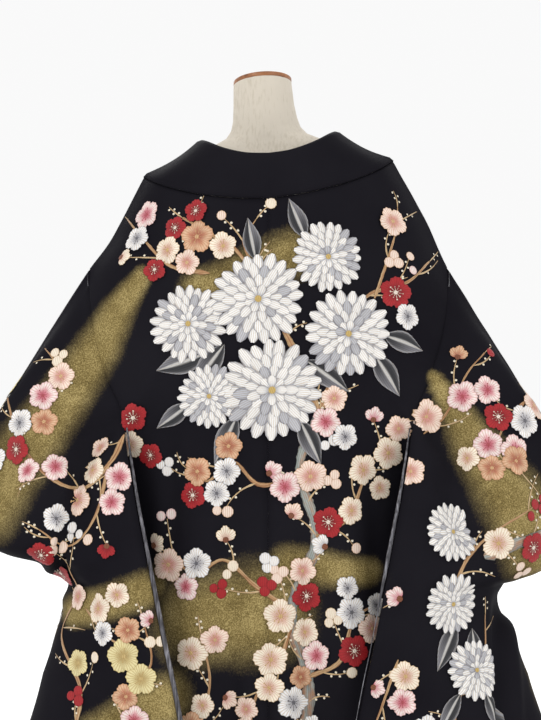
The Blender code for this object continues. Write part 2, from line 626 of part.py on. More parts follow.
def main():
    for old in list(bpy.data.objects):
        bpy.data.objects.remove(old)
    silk = material("black silk", (0.018, 0.017, 0.021), 0.55)
    linen = material("linen cover", (0.62, 0.56, 0.46), 0.85)
    wood = material("turned wood", (0.33, 0.14, 0.05), 0.45)
    steel = material("painted stand", (0.80, 0.80, 0.80), 0.40)
    dress_form(linen, wood, steel)
    lining = material("silver lining", (0.36, 0.36, 0.39), 0.45)
    shapes, hems = {}, {}
    for side, word in ((1, "left"), (-1, "right")):
        shapes[side] = body_panel(side, "body_" + word, silk)
        hems[side] = overlap_panel(side, "overlap_" + word, shapes[side], silk)
        edge = sleeve(side, "sleeve_" + word, shapes[side], silk)
        tube("sleeve_edge_" + word, edge, EDGE_RADIUS, 5, lining)
    collar_band(shapes, silk)
    tube("hem_roll", hem_path(shapes, hems), ROLL_RADIUS, 6, lining)


main()
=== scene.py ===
"""Uchikake, a bride's padded over-kimono, on a limbless dress form: the finished looks.

The garment's back faces +Y, its open front faces -Y, and the wearer's left sleeve is at +X. Each
cloth panel is a dense sheet on the form of its solid, with the creases laid on, and the
embroidery is thread laid on the sheets.
"""
import math

import bpy
import numpy as np
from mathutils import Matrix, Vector
from mathutils.bvhtree import BVHTree


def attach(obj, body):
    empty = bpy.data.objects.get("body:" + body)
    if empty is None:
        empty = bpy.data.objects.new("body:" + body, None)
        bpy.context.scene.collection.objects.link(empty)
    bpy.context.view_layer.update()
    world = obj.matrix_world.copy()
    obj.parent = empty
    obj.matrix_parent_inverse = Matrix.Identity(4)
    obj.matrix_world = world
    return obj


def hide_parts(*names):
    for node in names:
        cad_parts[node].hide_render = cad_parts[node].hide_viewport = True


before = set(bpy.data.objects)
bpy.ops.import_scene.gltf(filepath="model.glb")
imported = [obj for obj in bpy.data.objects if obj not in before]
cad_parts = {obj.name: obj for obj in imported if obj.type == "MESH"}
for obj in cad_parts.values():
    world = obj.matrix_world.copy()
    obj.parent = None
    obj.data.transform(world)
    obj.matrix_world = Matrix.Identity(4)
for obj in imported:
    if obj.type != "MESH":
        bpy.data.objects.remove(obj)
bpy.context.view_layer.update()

# ---- sizes, metres ----
CLOTH = 0.0022            # silk, padding and lining together
COLLAR_CLOTH = 0.0040     # the collar's double band, folded
SEAM = 0.00003            # each sewn edge keeps this far from the middle of its seam
LEAN = 0.065              # the shoulders drop this much for each metre to the left
LEAN_LOW, LEAN_HIGH = 1.16, 1.25
RIDGE_ROUND = 0.10        # depth over which the sleeve rounds off below its shoulder fold
CUFF_OPENING = 0.23       # height of the hand opening
CUFF_SPREAD = 0.045       # how far the hand opening stands open
SEWN_HALF_GAP = 0.0028    # half the space between the sleeve's layers where they are sewn
LAYERS_APART = 0.0060     # the least space between the sleeve's layers
EDGE_RADIUS = 0.0045      # rolled lining along the sleeve's open edge
ROLL_RADIUS = 0.007       # padded roll along the hem
NECK_SLOPE = 0.194
CAP_THICK = 0.0076
CAP_RADIUS = 0.0492
POST_RADIUS = 0.016
BASE_RADIUS = 0.19
BASE_THICK = 0.014


# ---- the tables ----
# Tables give lengths in millimetres. The rest of the script is in metres.
def columns(names, *rows):
    """A table as one array for each named column. A bar ends the columns that are lengths."""
    values = np.array(rows, float)
    values[:, :len(names.split("|")[0].split())] /= 1000
    return {name: values[:, i] for i, name in enumerate(names.replace("|", "").split())}


def tables(names, parts):
    """A table for each named part, all with the same columns."""
    return {part: columns(names, *rows) for part, rows in parts.items()}


# Half of the back, from the shoulder fold to the train. i is the point on the collar seam or the
# centre-back seam, e the point on the armhole or the side seam.
BACK = columns(
    "xi yi zi xe ye ze | square",
    (210, 20, 1342, 300, 40, 1173, 2),
    (185, 92, 1324, 296, 85, 1120, 2),
    (118, 152, 1298, 285, 122, 1060, 2),
    (45, 183, 1283.5, 262, 150, 990, 2),
    (0, 188, 1278, 235, 170, 920, 2.1),
    (0, 199, 1130, 247, 115, 860, 2.2),
    (0, 201, 990, 255, 40, 800, 2.4),
    (0, 201, 850, 257, 20, 720, 2.5),
    (0, 201, 720, 260, 20, 630, 2.5),
    (0, 204, 600, 267, 20, 540, 2.5),
    (0, 209, 480, 280, 20, 440, 2.5),
    (0, 219, 360, 297, 22, 340, 2.5),
    (0, 236, 250, 320, 25, 240, 2.4),
    (0, 262, 150, 345, 30, 150, 2.4),
    (0, 300, 70, 372, 35, 70, 2.3),
    (0, 355, 22, 400, 40, 22, 2.3),
    (0, 440, 8.5, 430, 50, 8.5, 2.3),
    (0, 540, 8.5, 465, 60, 8.5, 2.3),
    (0, 620, 8.5, 500, 70, 8.5, 2.3),
)

# Half of the front, in the same rows and as high at its side. i is on the collar seam, then on the
# overlap seam.
FRONT = columns(
    "xi yi zi xe ye",
    (210, 20, 1342, 300, 40),
    (207, -35, 1322, 297, -5),
    (198, -75, 1270, 288, -40),
    (190, -105, 1200, 272, -75),
    (183, -125, 1100, 255, -100),
    (178, -140, 1000, 255.5, -55),
    (188, -146, 870, 255.5, 10),
    (194, -150, 760, 257, 20),
    (200, -154, 650, 260, 20),
    (205, -158, 550, 267, 20),
    (210, -163, 450, 280, 20),
    (215, -172, 345, 297, 22),
    (220, -185, 245, 320, 25),
    (226, -205, 150, 345, 30),
    (232, -230, 70, 372, 35),
    (238, -262, 22, 400, 40),
    (243, -300, 8.5, 430, 50),
    (248, -335, 8.5, 465, 60),
    (250, -360, 8.5, 500, 70),
)
FRONT.update(ze=BACK["ze"], square=BACK["square"])
SIDE_SEAM_ROW = 6        # back and front are sewn together from this row down

# Free edge of the collar round the neck. Rows 0 to 4 run from the centre back to the shoulder
# fold, beside rows 4 to 0 of BACK; the rest run down the front beside rows 1 to 8 of FRONT.
COLLAR = columns(
    "x y z belly",
    (0, 150, 1356, 10), (30, 148, 1358.5, 10), (72, 122, 1372, 6), (102, 70, 1390, -2),
    (113, 10, 1397.5, -6), (110, -48, 1372, -2), (102, -94, 1308, 3), (93, -124, 1226, 5),
    (83, -142, 1118, 4), (77, -153, 1006, 4), (73, -161, 870, 4), (71, -167, 760, 3),
    (70, -171, 650, 2),
)
NECK_ROWS = 4            # collar rows from the centre back to the shoulder fold
OVERLAP_ROW = 5          # from this row of FRONT down, the overlap lies between collar and body
OVERLAP_TOP = 5.25       # the overlap panel's point, in rows of FRONT
COLLAR_END = 8           # the row of FRONT beside the collar's lower end

# Edge of the overlap panel that faces the wearer's middle, from OVERLAP_ROW of FRONT: along the
# collar first, then free down to the floor.
OVERLAP_COLLAR_EDGE = columns(
    "x y z",
    (178, -140, 1000), (175.5, -150, 870), (174, -157, 760), (172, -162, 650),
)
OVERLAP_FREE_EDGE = columns(
    "x y z",
    (70, -171, 648.5), (70, -173, 550), (72, -180, 450), (75, -190, 345), (78, -205, 245),
    (82, -226, 150), (86, -252, 70), (90, -285, 22), (93, -322, 8.5), (96, -356, 8.5),
    (100, -380, 8.5),
)

# Sleeve levels. b is the back layer's edge at the body, f the front layer's, o the wrist side;
# the o columns are for the left and the right sleeve.
SLEEVE = columns(
    "z xb yb xf yf xo_left yo_left xo_right yo_right",
    (1173, 300, 40, 300, 40, 505, 0, 505, 0),
    (1120, 296, 85, 297, -5, 505, 0, 505, 0),
    (1060, 285, 122, 288, -40, 505, 0, 505, 0),
    (990, 262, 150, 272, -75, 505, 0, 505, 0),
    (920, 235, 170, 255, -100, 505, 0, 505, 0),
    (860, 224, 200, 288, -90, 505, 0, 505, 0),
    (800, 213, 218, 303, -65, 507, 0, 509, 0),
    (750, 203, 228, 308, -45, 500, -3, 507, -3),
    (720, 197, 232, 308, -30, 484, 0, 500, -2),
    (700, 193, 235, 308, -18, 438, 6, 492, 2),
    (685, 190, 237, 307, -10, 380, 14, 478, 6),
    (670, 187, 239, 306, 0, 359, 22, 452, 12),
    (650, 183, 241, 304, 12, 333, 30, 392, 24),
    (620, 177, 244, 300, 32, 339, 36, 384, 36),
    (560, 165, 249, 284, 80, 356, 44, 408, 46),
    (500, 152, 254, 262, 130, 373, 52, 431, 56),
    (400, 134, 264, 215, 200, 402, 64, 462, 70),
    (300, 122, 284, 166, 245, 424, 78, 484, 84),
    (200, 113, 312, 130, 290, 438, 94, 500, 98),
    (115, 108, 340, 110, 334, 446, 108, 508, 110),
)
ARMPIT_ROW = 4           # the sleeve is sewn to the body down to this level
LOOSE_ROW = 12           # from this level down every ring has the same heights
CUFF = np.array((0.505, 0.0, 0.855))

# The hollow between the raised sleeve and its hanging part, seen from the back.
VALLEY = columns(
    "z x",
    (984, 240), (930, 268), (830, 300), (767, 316), (710, 330), (652, 344),
)
VALLEY_DEPTH, VALLEY_WIDTH, WING_BULGE = 0.036, 0.040, 0.026
VALLEY_FOOT, VALLEY_HEAD = (0.62, 0.78), (0.90, 1.0)   # heights between which the hollow dies out
WING_FOOT = (0.60, 0.78)                               # and the bulge above it
WALL_ROUND = 0.9         # below 1 the layers leave the body more squarely than an ellipse
FOLD_DROP = 0.006        # the sleeve's lower fold lies this far below its layers

# Large folds of the skirt: how deep each is at the hem (a ridge is positive), then, as shares of
# the panel, where it lies at the top and at the hem, how wide it is and how far down it starts.
FOLDS = tables("depth | top hem width start", {
    "back left": (
        (-22, 0.1, 0.16, 0.075, 0.3), (20, 0.3, 0.38, 0.09, 0.34), (-26, 0.52, 0.58, 0.085, 0.28),
        (22, 0.74, 0.78, 0.08, 0.4),
    ),
    "back right": (
        (-20, 0.12, 0.18, 0.08, 0.32), (24, 0.32, 0.4, 0.085, 0.3), (-22, 0.55, 0.62, 0.08, 0.3),
        (20, 0.76, 0.8, 0.08, 0.42),
    ),
    "front left": (
        (-16, 0.26, 0.24, 0.09, 0.34), (16, 0.5, 0.5, 0.09, 0.4), (-14, 0.74, 0.76, 0.08, 0.46),
    ),
    "front right": (
        (-14, 0.24, 0.22, 0.09, 0.36), (18, 0.47, 0.47, 0.085, 0.38),
        (-16, 0.72, 0.75, 0.08, 0.44),
    ),
})
FOLD_FLAT = (0.70, 0.90)  # a fold dies out between these shares of the length, on the floor

# Dress form rings: height, half width, half depth, and the centre's x and y.
FORM = columns(
    "z a b x y",
    (800, 130, 88, 0, 0), (830, 152, 102, 0, 0), (880, 160, 108, 0, 0), (950, 146, 100, 0, 0),
    (1030, 126, 88, 0, 0), (1120, 142, 100, 0, -4), (1200, 162, 112, 0, -6),
    (1270, 178, 104, 0, -2), (1320, 184.5, 88, 0, 2), (1344, 178, 72, 0, 5),
    (1361, 158, 60, 0, 6), (1375.5, 126, 55, 0, 6), (1387.5, 92, 53, 1.5, 5),
    (1398.5, 69, 54, 3, 3), (1411, 59, 54.5, 4.5, 1), (1427, 54.5, 54.5, 5.7, 0),
    (1450, 51.5, 52.5, 7.9, 0), (1486.6, 49.2, 49.5, 10.1, 0),
)
FORM_SIDES = 36
FORM_FOOT, NECK_MIDDLE = FORM["z"][0], FORM["x"][-1]
NECK_BEND, NECK_TOP = FORM["z"][-2:]     # the neck's cut slopes between these heights


# ---- reading the tables ----
def smooth_read(values, at):
    """Monotone cubic through values at 0, 1, 2 ..., read at the places in at."""
    v = np.asarray(values, float)
    step = np.diff(v)
    slope = np.zeros_like(v)
    same = step[:-1] * step[1:] > 0
    slope[1:-1][same] = 2 * step[:-1][same] * step[1:][same] / (step[:-1][same] + step[1:][same])
    slope[0], slope[-1] = step[0], step[-1]
    k = np.clip(np.floor(at).astype(int), 0, len(v) - 2)
    t = at - k
    h00, h10 = (1 + 2 * t) * (1 - t) ** 2, t * (1 - t) ** 2
    h01, h11 = t * t * (3 - 2 * t), t * t * (t - 1)
    return h00 * v[k] + h10 * slope[k] + h01 * v[k + 1] + h11 * slope[k + 1]


def smooth_step(x, low, high):
    """0 up to low, 1 from high on, and an even S between them."""
    t = np.clip((np.asarray(x, float) - low) / (high - low), 0, 1)
    return t * t * (3 - 2 * t)


def lean(points):
    """The whole upper part drops a little towards the left shoulder."""
    out = points.copy()
    out[..., 2] -= LEAN * out[..., 0] * smooth_step(out[..., 2], LEAN_LOW, LEAN_HIGH)
    return out


def tip(points):
    """The form's neck is cut at a slope, so that its top faces a little forward."""
    out = points.copy()
    out[..., 2] += NECK_SLOPE * out[..., 1] * smooth_step(out[..., 2], NECK_BEND, NECK_TOP)
    return out


# ---- surfaces ----
def quarter(inner, outer, square, share):
    """Points on a quarter of a rounded rectangle from inner, where it runs along X, to outer."""
    bend = 2 / square
    across = np.sin(share * math.pi / 2) ** bend
    back = np.cos(share * math.pi / 2) ** bend
    x = inner[0] + (outer[0] - inner[0]) * across
    y = outer[1] + (inner[1] - outer[1]) * back
    z = inner[2] + (outer[2] - inner[2]) * across
    return np.stack([x, y, z], -1)


def inward(grid, closed=False):
    """Unit normals towards the inside of the garment, at the points of a grid."""
    if closed:
        grid = np.concatenate([grid[-1:], grid, grid[:1]])
    normal = np.cross(np.gradient(grid, axis=0), np.gradient(grid, axis=1))
    normal = normal / np.maximum(np.linalg.norm(normal, axis=2, keepdims=True), 1e-12)
    return normal[1:-1] if closed else normal


def level_with(normals, axis):
    """The same directions with nothing along one axis, so two edges can face each other."""
    flat = normals.copy()
    flat[..., axis] = 0
    return flat / np.linalg.norm(flat, axis=-1, keepdims=True)


FINE = 12                        # grid rows for each row of a table
BODY_PLACES = np.arange(0, FINE * (len(BACK["xi"]) - 1) + 1) / FINE
SLEEVE_PLACES = np.arange(0, FINE * (len(SLEEVE["z"]) - 1) + 1) / FINE
RIDGE = len(BODY_PLACES) - 1     # the shoulder fold's row in a body strip


def row_at(place):
    """How many grid rows lie between the shoulder fold and a place in the tables."""
    return int(round(place * FINE))


def body_half(table, places, shares, folds):
    """A front or a back half at the left side, as rows of points from the ridge to the hem."""
    read = {name: smooth_read(column, places) for name, column in table.items()}
    grid = []
    for k in range(len(places)):
        inner = (read["xi"][k], read["yi"][k], read["zi"][k])
        outer = (read["xe"][k], read["ye"][k], read["ze"][k])
        grid.append(quarter(inner, outer, read["square"][k], shares))
    grid = np.array(grid)
    down = (places / (len(table["xi"]) - 1))[:, None]
    push = np.zeros(grid.shape[:2])
    for depth, top, hem, width, start in zip(*folds.values()):
        middle = top + (hem - top) * down
        grown = smooth_step(down, start, FOLD_FLAT[0]) * (1 - smooth_step(down, *FOLD_FLAT))
        push += depth * grown * np.exp(-(((shares[None] - middle) / width) ** 2))
    push *= smooth_step(1 - shares, 0, 0.06)
    outward = np.zeros_like(grid)
    outward[..., 0] = grid[..., 0] - grid[:, :1, 0]
    outward[..., 1] = grid[..., 1] - grid[:, -1:, 1]
    size = np.linalg.norm(outward, axis=2, keepdims=True)
    return grid + outward / np.maximum(size, 1e-9) * push[..., None]


def read_edge(column, body_column, places):
    """A sleeve edge at the body: the body's own armhole first, then the sleeve's open edge."""
    return np.where(places <= ARMPIT_ROW, smooth_read(body_column, np.minimum(places, ARMPIT_ROW)),
                    smooth_read(column, places))


def sleeve_layer(side, share, layer):
    """Points down the back ("b") or the front ("f") layer at one share of the width."""
    places = SLEEVE_PLACES
    body = BACK if layer == "b" else FRONT
    z_edge = read_edge(SLEEVE["z"], BACK["ze"], places)
    edge_x = read_edge(SLEEVE["x" + layer], body["xe"], places)
    edge_y = read_edge(SLEEVE["y" + layer], body["ye"], places)
    ridge = np.array([BACK[c][0] for c in ("xe", "ye", "ze")])
    ridge = ridge + (CUFF - ridge) * share
    loose = SLEEVE["z"][LOOSE_ROW]
    scale = (ridge[2] - loose) / (SLEEVE["z"][0] - loose)
    z = np.where(places <= LOOSE_ROW, loose + (z_edge - loose) * scale, z_edge)
    level = np.interp(-z, -SLEEVE["z"], np.arange(len(SLEEVE["z"])))
    hand = "left" if side > 0 else "right"
    out_x, out_y = smooth_read(SLEEVE["xo_" + hand], level), smooth_read(SLEEVE["yo_" + hand], level)
    away = 1 if layer == "b" else -1
    below_cuff = np.clip((CUFF[2] - z) / CUFF_OPENING, 0, 1)
    spread = CUFF_SPREAD * np.sin(math.pi * below_cuff) ** 0.8 + SEWN_HALF_GAP
    across = share ** 0.9 if layer == "f" else math.sin(share * math.pi / 2) ** WALL_ROUND
    back = 1 - share ** 1.2 if layer == "f" else math.cos(share * math.pi / 2) ** WALL_ROUND
    x = edge_x + (out_x - edge_x) * across
    y = out_y + (edge_y - out_y) * back + away * spread * share ** 3
    if layer == "b":
        middle = np.interp(-z, -VALLEY["z"], VALLEY["x"])
        near = np.exp(-(((x - middle) / VALLEY_WIDTH) ** 2))
        near = near * smooth_step(z, *VALLEY_FOOT) * (1 - smooth_step(z, *VALLEY_HEAD))
        y = y - VALLEY_DEPTH * near * smooth_step(share, 0.0, 0.15)
        y = y + WING_BULGE * math.sin(math.pi * share) * smooth_step(z, *WING_FOOT)
    if share > 0:
        depth = np.clip((ridge[2] - z) / RIDGE_ROUND, 0, 1)
        x = ridge[0] + (x - ridge[0]) * smooth_step(depth, 0, 1)
        y = ridge[1] + (y - ridge[1]) * np.sqrt(1 - (1 - depth) ** 2)
    return np.stack([x, y, z], -1)


def sleeve_ring(side, share):
    """A closed loop round the sleeve: down its back layer, under the lower fold, up its front."""
    down, up = sleeve_layer(side, share, "b"), sleeve_layer(side, share, "f")
    space = down[1:, 1] - up[1:, 1]
    short = np.maximum(LAYERS_APART - space, 0) / 2
    down[1:, 1] += short
    up[1:, 1] -= short
    fold = (down[-1:] + up[-1:]) / 2 - np.array((0, 0, FOLD_DROP))
    return np.concatenate([down, fold, up[:0:-1]])


def pull_in(grid, column, gap, first=0, last=None):
    """Moves one side of a grid inwards by a seam's gap."""
    beside = 1 if column == 0 else -2
    rows = slice(first, last)
    step = grid[rows, beside] - grid[rows, column]
    length = np.linalg.norm(step, axis=-1, keepdims=True)
    grid[rows, column] += step / np.maximum(length, 1e-9) * gap


# ---- creases ----
# Soft creases of each panel, listed: from (x1, z1) to (x2, z2) as seen from the back or the
# front, how deep (a ridge is positive) and how wide. x is towards the garment's left.
CREASES = tables("x1 z1 x2 z2 depth width", {
    "back": (
        (20, 1230, 12, 300, -3, 16), (205, 1300, 150, 1020, -5, 20), (240, 1200, 175, 900, 5, 24),
        (105, 1235, 90, 860, 2.8, 22), (160, 960, 150, 300, -7, 18), (100, 840, 110, 120, 6, 24),
        (55, 900, 60, 160, -6, 20), (215, 800, 225, 200, -6, 18),
        (-205, 1320, -160, 1040, -5, 20), (-245, 1220, -185, 940, 6, 26),
        (-100, 1220, -120, 800, 3, 24), (-168, 920, -190, 260, -8, 20),
        (-120, 860, -128, 200, 6, 22), (-62, 800, -70, 140, -7, 18),
        (-215, 840, -240, 220, 5, 20), (-20, 700, -28, 200, 4, 14), (265, 560, 285, 200, -6, 16),
        (-265, 560, -290, 180, -6, 18),
    ),
    "front": (
        (230, 1240, 205, 960, -4, 18), (-235, 1250, -210, 940, -4, 18),
        (215, 900, 222, 240, 5, 16), (-220, 860, -226, 200, 5, 16), (240, 760, 262, 160, -6, 16),
        (-238, 800, -258, 180, -6, 16), (120, 560, 135, 120, 3, 16),
        (-130, 580, -140, 140, 3, 16),
    ),
    "sleeve back": (
        (300, 1130, 262, 960, -4, 16), (335, 1090, 300, 900, 4, 20), (395, 990, 352, 760, 5, 28),
        (440, 930, 420, 740, -4, 22), (230, 960, 325, 790, -10, 14), (262, 900, 330, 730, 8, 14),
        (298, 850, 345, 640, -9, 10), (318, 850, 364, 650, 7, 12), (345, 700, 270, 620, -6, 14),
        (380, 690, 330, 600, 6, 14), (250, 760, 240, 300, 6, 26), (300, 620, 305, 200, -7, 22),
        (350, 560, 365, 200, 5, 22), (195, 700, 185, 260, -5, 18),
        (-300, 1140, -266, 960, -4, 16), (-345, 1080, -318, 880, 4, 22),
        (-405, 980, -372, 740, 5, 26), (-450, 900, -440, 720, -4, 20),
        (-240, 960, -330, 780, -10, 14), (-270, 900, -345, 720, 8, 14),
        (-378, 680, -372, 140, -13, 12), (-400, 690, -398, 140, 8, 12),
        (-250, 740, -240, 300, 6, 26), (-300, 640, -310, 200, -7, 22),
        (-195, 700, -185, 260, -5, 18),
    ),
    "sleeve front": (
        (320, 1080, 300, 840, -4, 18), (380, 1000, 372, 720, 5, 24), (440, 900, 430, 700, -4, 18),
        (340, 640, 350, 180, -6, 20), (390, 560, 400, 180, 5, 20),
        (-320, 1080, -300, 820, -4, 18), (-385, 1000, -380, 700, 5, 24),
        (-445, 880, -435, 680, -4, 18), (-345, 640, -352, 160, -6, 20),
        (-400, 600, -410, 160, 5, 20),
    ),
})
SEAM_DIP, SEAM_REACH = 0.0008, 0.0040   # how a panel turns down into a seam
CREASE_IN, CREASE_OUT = (0, 0.22), (0.72, 1.0)   # shares of a crease's length over which it fades
UNEVENNESS, RIPPLE = 0.0009, 0.05        # how high the silk's slow ripple is, and its scale


def crease_push(points, creases):
    """How far the hand-laid creases push each point out of its panel."""
    push = np.zeros(points.shape[:-1])
    for x1, z1, x2, z2, depth, width in zip(*creases.values()):
        start, run = np.array((x1, z1)), np.array((x2 - x1, z2 - z1))
        flat = points[..., [0, 2]] - start
        along = np.clip((flat @ run) / (run @ run), 0, 1)
        off = np.linalg.norm(flat - along[..., None] * run, axis=-1)
        fade = smooth_step(along, *CREASE_IN) * (1 - smooth_step(along, *CREASE_OUT))
        push += depth * fade * np.exp(-((off / width) ** 2))
    return push


def ripple(points, scale, seed):
    """Slow unevenness of padded silk, the same on every run."""
    turn = np.random.default_rng(seed).uniform(0, 2 * math.pi, 6)
    x, y, z = (points[..., i] / scale for i in range(3))
    return (np.sin(1.7 * x + 0.6 * z + turn[0]) * np.sin(0.9 * z + turn[1])
            + 0.6 * np.sin(2.9 * z - 1.1 * x + turn[2]) * np.cos(1.3 * y + turn[3])
            + 0.4 * np.sin(5.1 * x + 2.3 * z + turn[4])) / 2


def edge_fade(grid, first, last):
    """0 on the sewn sides of a grid and 1 a little way in."""
    step = np.linalg.norm(np.diff(grid, axis=1), axis=2)
    reach = np.concatenate([np.zeros((len(grid), 1)), np.cumsum(step, axis=1)], axis=1)
    fade = np.ones(grid.shape[:2])
    if first:
        fade = fade * smooth_step(reach, 0, SEAM_REACH)
    if last:
        fade = fade * smooth_step(reach[:, -1:] - reach, 0, SEAM_REACH)
    return fade


# ---- sheets ----
def quads_of(index):
    """The four corners of every face of a grid of point numbers."""
    corners = (index[:-1, :-1], index[:-1, 1:], index[1:, 1:], index[1:, :-1])
    return np.stack(corners, -1).reshape(-1, 4)


def steps_along(lengths):
    """How far along a line each of its points lies, from the lengths between them."""
    return np.concatenate([[0], np.cumsum(lengths)])


def sheet_mesh(name, outer, inner, finishes, side=1, closed=False):
    """One cloth panel: its face, its lining a wall's thickness inside it, and its rims."""
    if side < 0:
        mirror = np.array((-1, 1, 1))
        outer, inner = outer[:, ::-1] * mirror, inner[:, ::-1] * mirror
    rows, cols = outer.shape[:2]
    if closed:
        outer, inner = (np.concatenate([g, g[:1]]) for g in (outer, inner))
        rows += 1
    index = np.arange(rows * cols).reshape(rows, cols)
    if closed:
        index[-1] = index[0]
    count = rows * cols
    face = quads_of(index)
    lining = face[:, ::-1] + count
    edges = [(index[:, 0], False), (index[:, -1], True)]
    if not closed:
        edges += [(index[0], True), (index[-1], False)]
    rims = []
    for line, turned in edges:
        rim = np.stack([line[:-1], line[1:], line[1:] + count, line[:-1] + count], -1)
        rims.append(rim[:, ::-1] if turned else rim)
    quads = np.concatenate([face, lining, *rims])
    points = np.concatenate([outer.reshape(-1, 3), inner.reshape(-1, 3)])
    mesh = bpy.data.meshes.new(name)
    mesh.vertices.add(len(points))
    mesh.vertices.foreach_set("co", points.ravel())
    mesh.loops.add(quads.size)
    mesh.loops.foreach_set("vertex_index", quads.ravel())
    mesh.polygons.add(len(quads))
    mesh.polygons.foreach_set("loop_start", np.arange(0, quads.size, 4))
    mesh.polygons.foreach_set("material_index",
                              np.repeat([0, 1, 0], [len(face), len(lining), sum(map(len, rims))]))
    mesh.update(calc_edges=True)
    mesh.validate()
    down = steps_along(np.linalg.norm(np.diff(outer, axis=0), axis=2).mean(axis=1))
    over = steps_along(np.linalg.norm(np.diff(outer, axis=1), axis=2).mean(axis=0))
    cut = np.stack(np.meshgrid(over, down), -1).reshape(-1, 2)
    map_points(mesh, "cut", np.concatenate([cut, cut]))
    made = linked(name, mesh, *finishes)
    if closed:
        drop_loose(made)
    return made


def map_points(mesh, name, places):
    """Gives a mesh a UV map from a place for each point."""
    used = np.zeros(len(mesh.loops), int)
    mesh.loops.foreach_get("vertex_index", used)
    mesh.uv_layers.new(name=name).data.foreach_set("uv", places[used].ravel())


def linked(name, mesh, *finishes):
    """A smooth-shaded object on a mesh, in the scene, with its finishes."""
    mesh.shade_smooth()
    made = bpy.data.objects.new(name, mesh)
    bpy.context.scene.collection.objects.link(made)
    for finish in finishes:
        mesh.materials.append(finish)
    return made


def take(made):
    """Selects one object and nothing else, and makes it the active one."""
    bpy.ops.object.select_all(action="DESELECT")
    made.select_set(True)
    bpy.context.view_layer.objects.active = made


def put_in_frame(piece, node):
    """Hides the solid that a piece stands for, if any, and hangs the piece on the root, which never
    moves.
    """
    if node:
        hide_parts(node)
    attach(piece, "root")


def drop_loose(made):
    """Drops the points that no face uses."""
    take(made)
    bpy.ops.object.mode_set(mode="EDIT")
    bpy.ops.mesh.select_all(action="SELECT")
    bpy.ops.mesh.delete_loose()
    bpy.ops.object.mode_set(mode="OBJECT")


def worked(grid, into, fade, dips, sets, seed):
    """A panel's face with its creases, its slow unevenness and its seams turned down."""
    push = np.zeros(grid.shape[:2])
    for chosen, where in sets:
        push += crease_push(grid, CREASES[chosen]) * where
    push += UNEVENNESS * ripple(grid, RIPPLE, seed)
    push = push * fade - SEAM_DIP * (1 - dips)
    return grid - into * push[..., None]


# ---- the garment's panels ----
BODY_SHARES = np.linspace(0, 1, 49)
SLEEVE_SHARES = np.linspace(0, 1, 45)
BAND_SHARES = np.linspace(0, 1, 17)      # across the collar and the overlap
POINT_DROP = 0.0015       # keeps the overlap's two rows at the collar's end apart
LINING_LIFT = 0.0002      # the collar's underside lies this far under its solid's middle line
COLLAR_UNEVENNESS, COLLAR_RIPPLE = 0.0005, 0.06
EDGE_MARGIN = 2           # grid rows left bare at each end of a sleeve's rolled edge
faces_out = {}            # each panel's outer face, which the embroidery is laid on


def keep_face(name, grid, into, side, closed=False):
    """Remembers a panel's outer face, in place, for the embroidery."""
    mirror = np.array((side, 1, 1))
    faces_out[name] = (grid * mirror, -into * mirror, closed)


def body_panel(side, name, silk, lining):
    """A half of the body, one length of silk from the front hem to the train."""
    mirror = np.array((side, 1, 1))
    word = "left" if side > 0 else "right"
    back = body_half(BACK, BODY_PLACES, BODY_SHARES, FOLDS["back " + word])
    front = body_half(FRONT, BODY_PLACES, BODY_SHARES, FOLDS["front " + word])
    sewn_side = BODY_PLACES >= SIDE_SEAM_ROW
    back[sewn_side, -1, 1] += SEAM
    front[sewn_side, -1, 1] -= SEAM
    strip = np.concatenate([front[:0:-1], back])
    strip = lean(strip * mirror) * mirror
    into = inward(strip)
    centre = slice(RIDGE + row_at(NECK_ROWS), None)
    into[centre, 0] = level_with(into[centre, 0], 0)
    sewn = np.abs(np.arange(len(strip)) - RIDGE) >= row_at(SIDE_SEAM_ROW)
    into[sewn, -1] = level_with(into[sewn, -1], 1)
    shape = {"points": strip.copy(), "into": into}
    pull_in(strip, 0, SEAM)
    armpit = row_at(ARMPIT_ROW)
    pull_in(strip, -1, SEAM, RIDGE - armpit, RIDGE + armpit + 1)
    is_back = smooth_step(np.arange(len(strip)) - RIDGE, 0, FINE)[:, None]
    dips = edge_fade(strip, True, True)
    push_sets = (("back", is_back), ("front", 1 - is_back))
    face = worked(strip * mirror, into * mirror, dips, dips, push_sets, 3 + side) * mirror
    keep_face(name, face, into, side)
    piece = sheet_mesh(name + "_silk", face, face + into * CLOTH, (silk, lining), side)
    lay_gold(piece)
    put_in_frame(piece, name)
    return shape


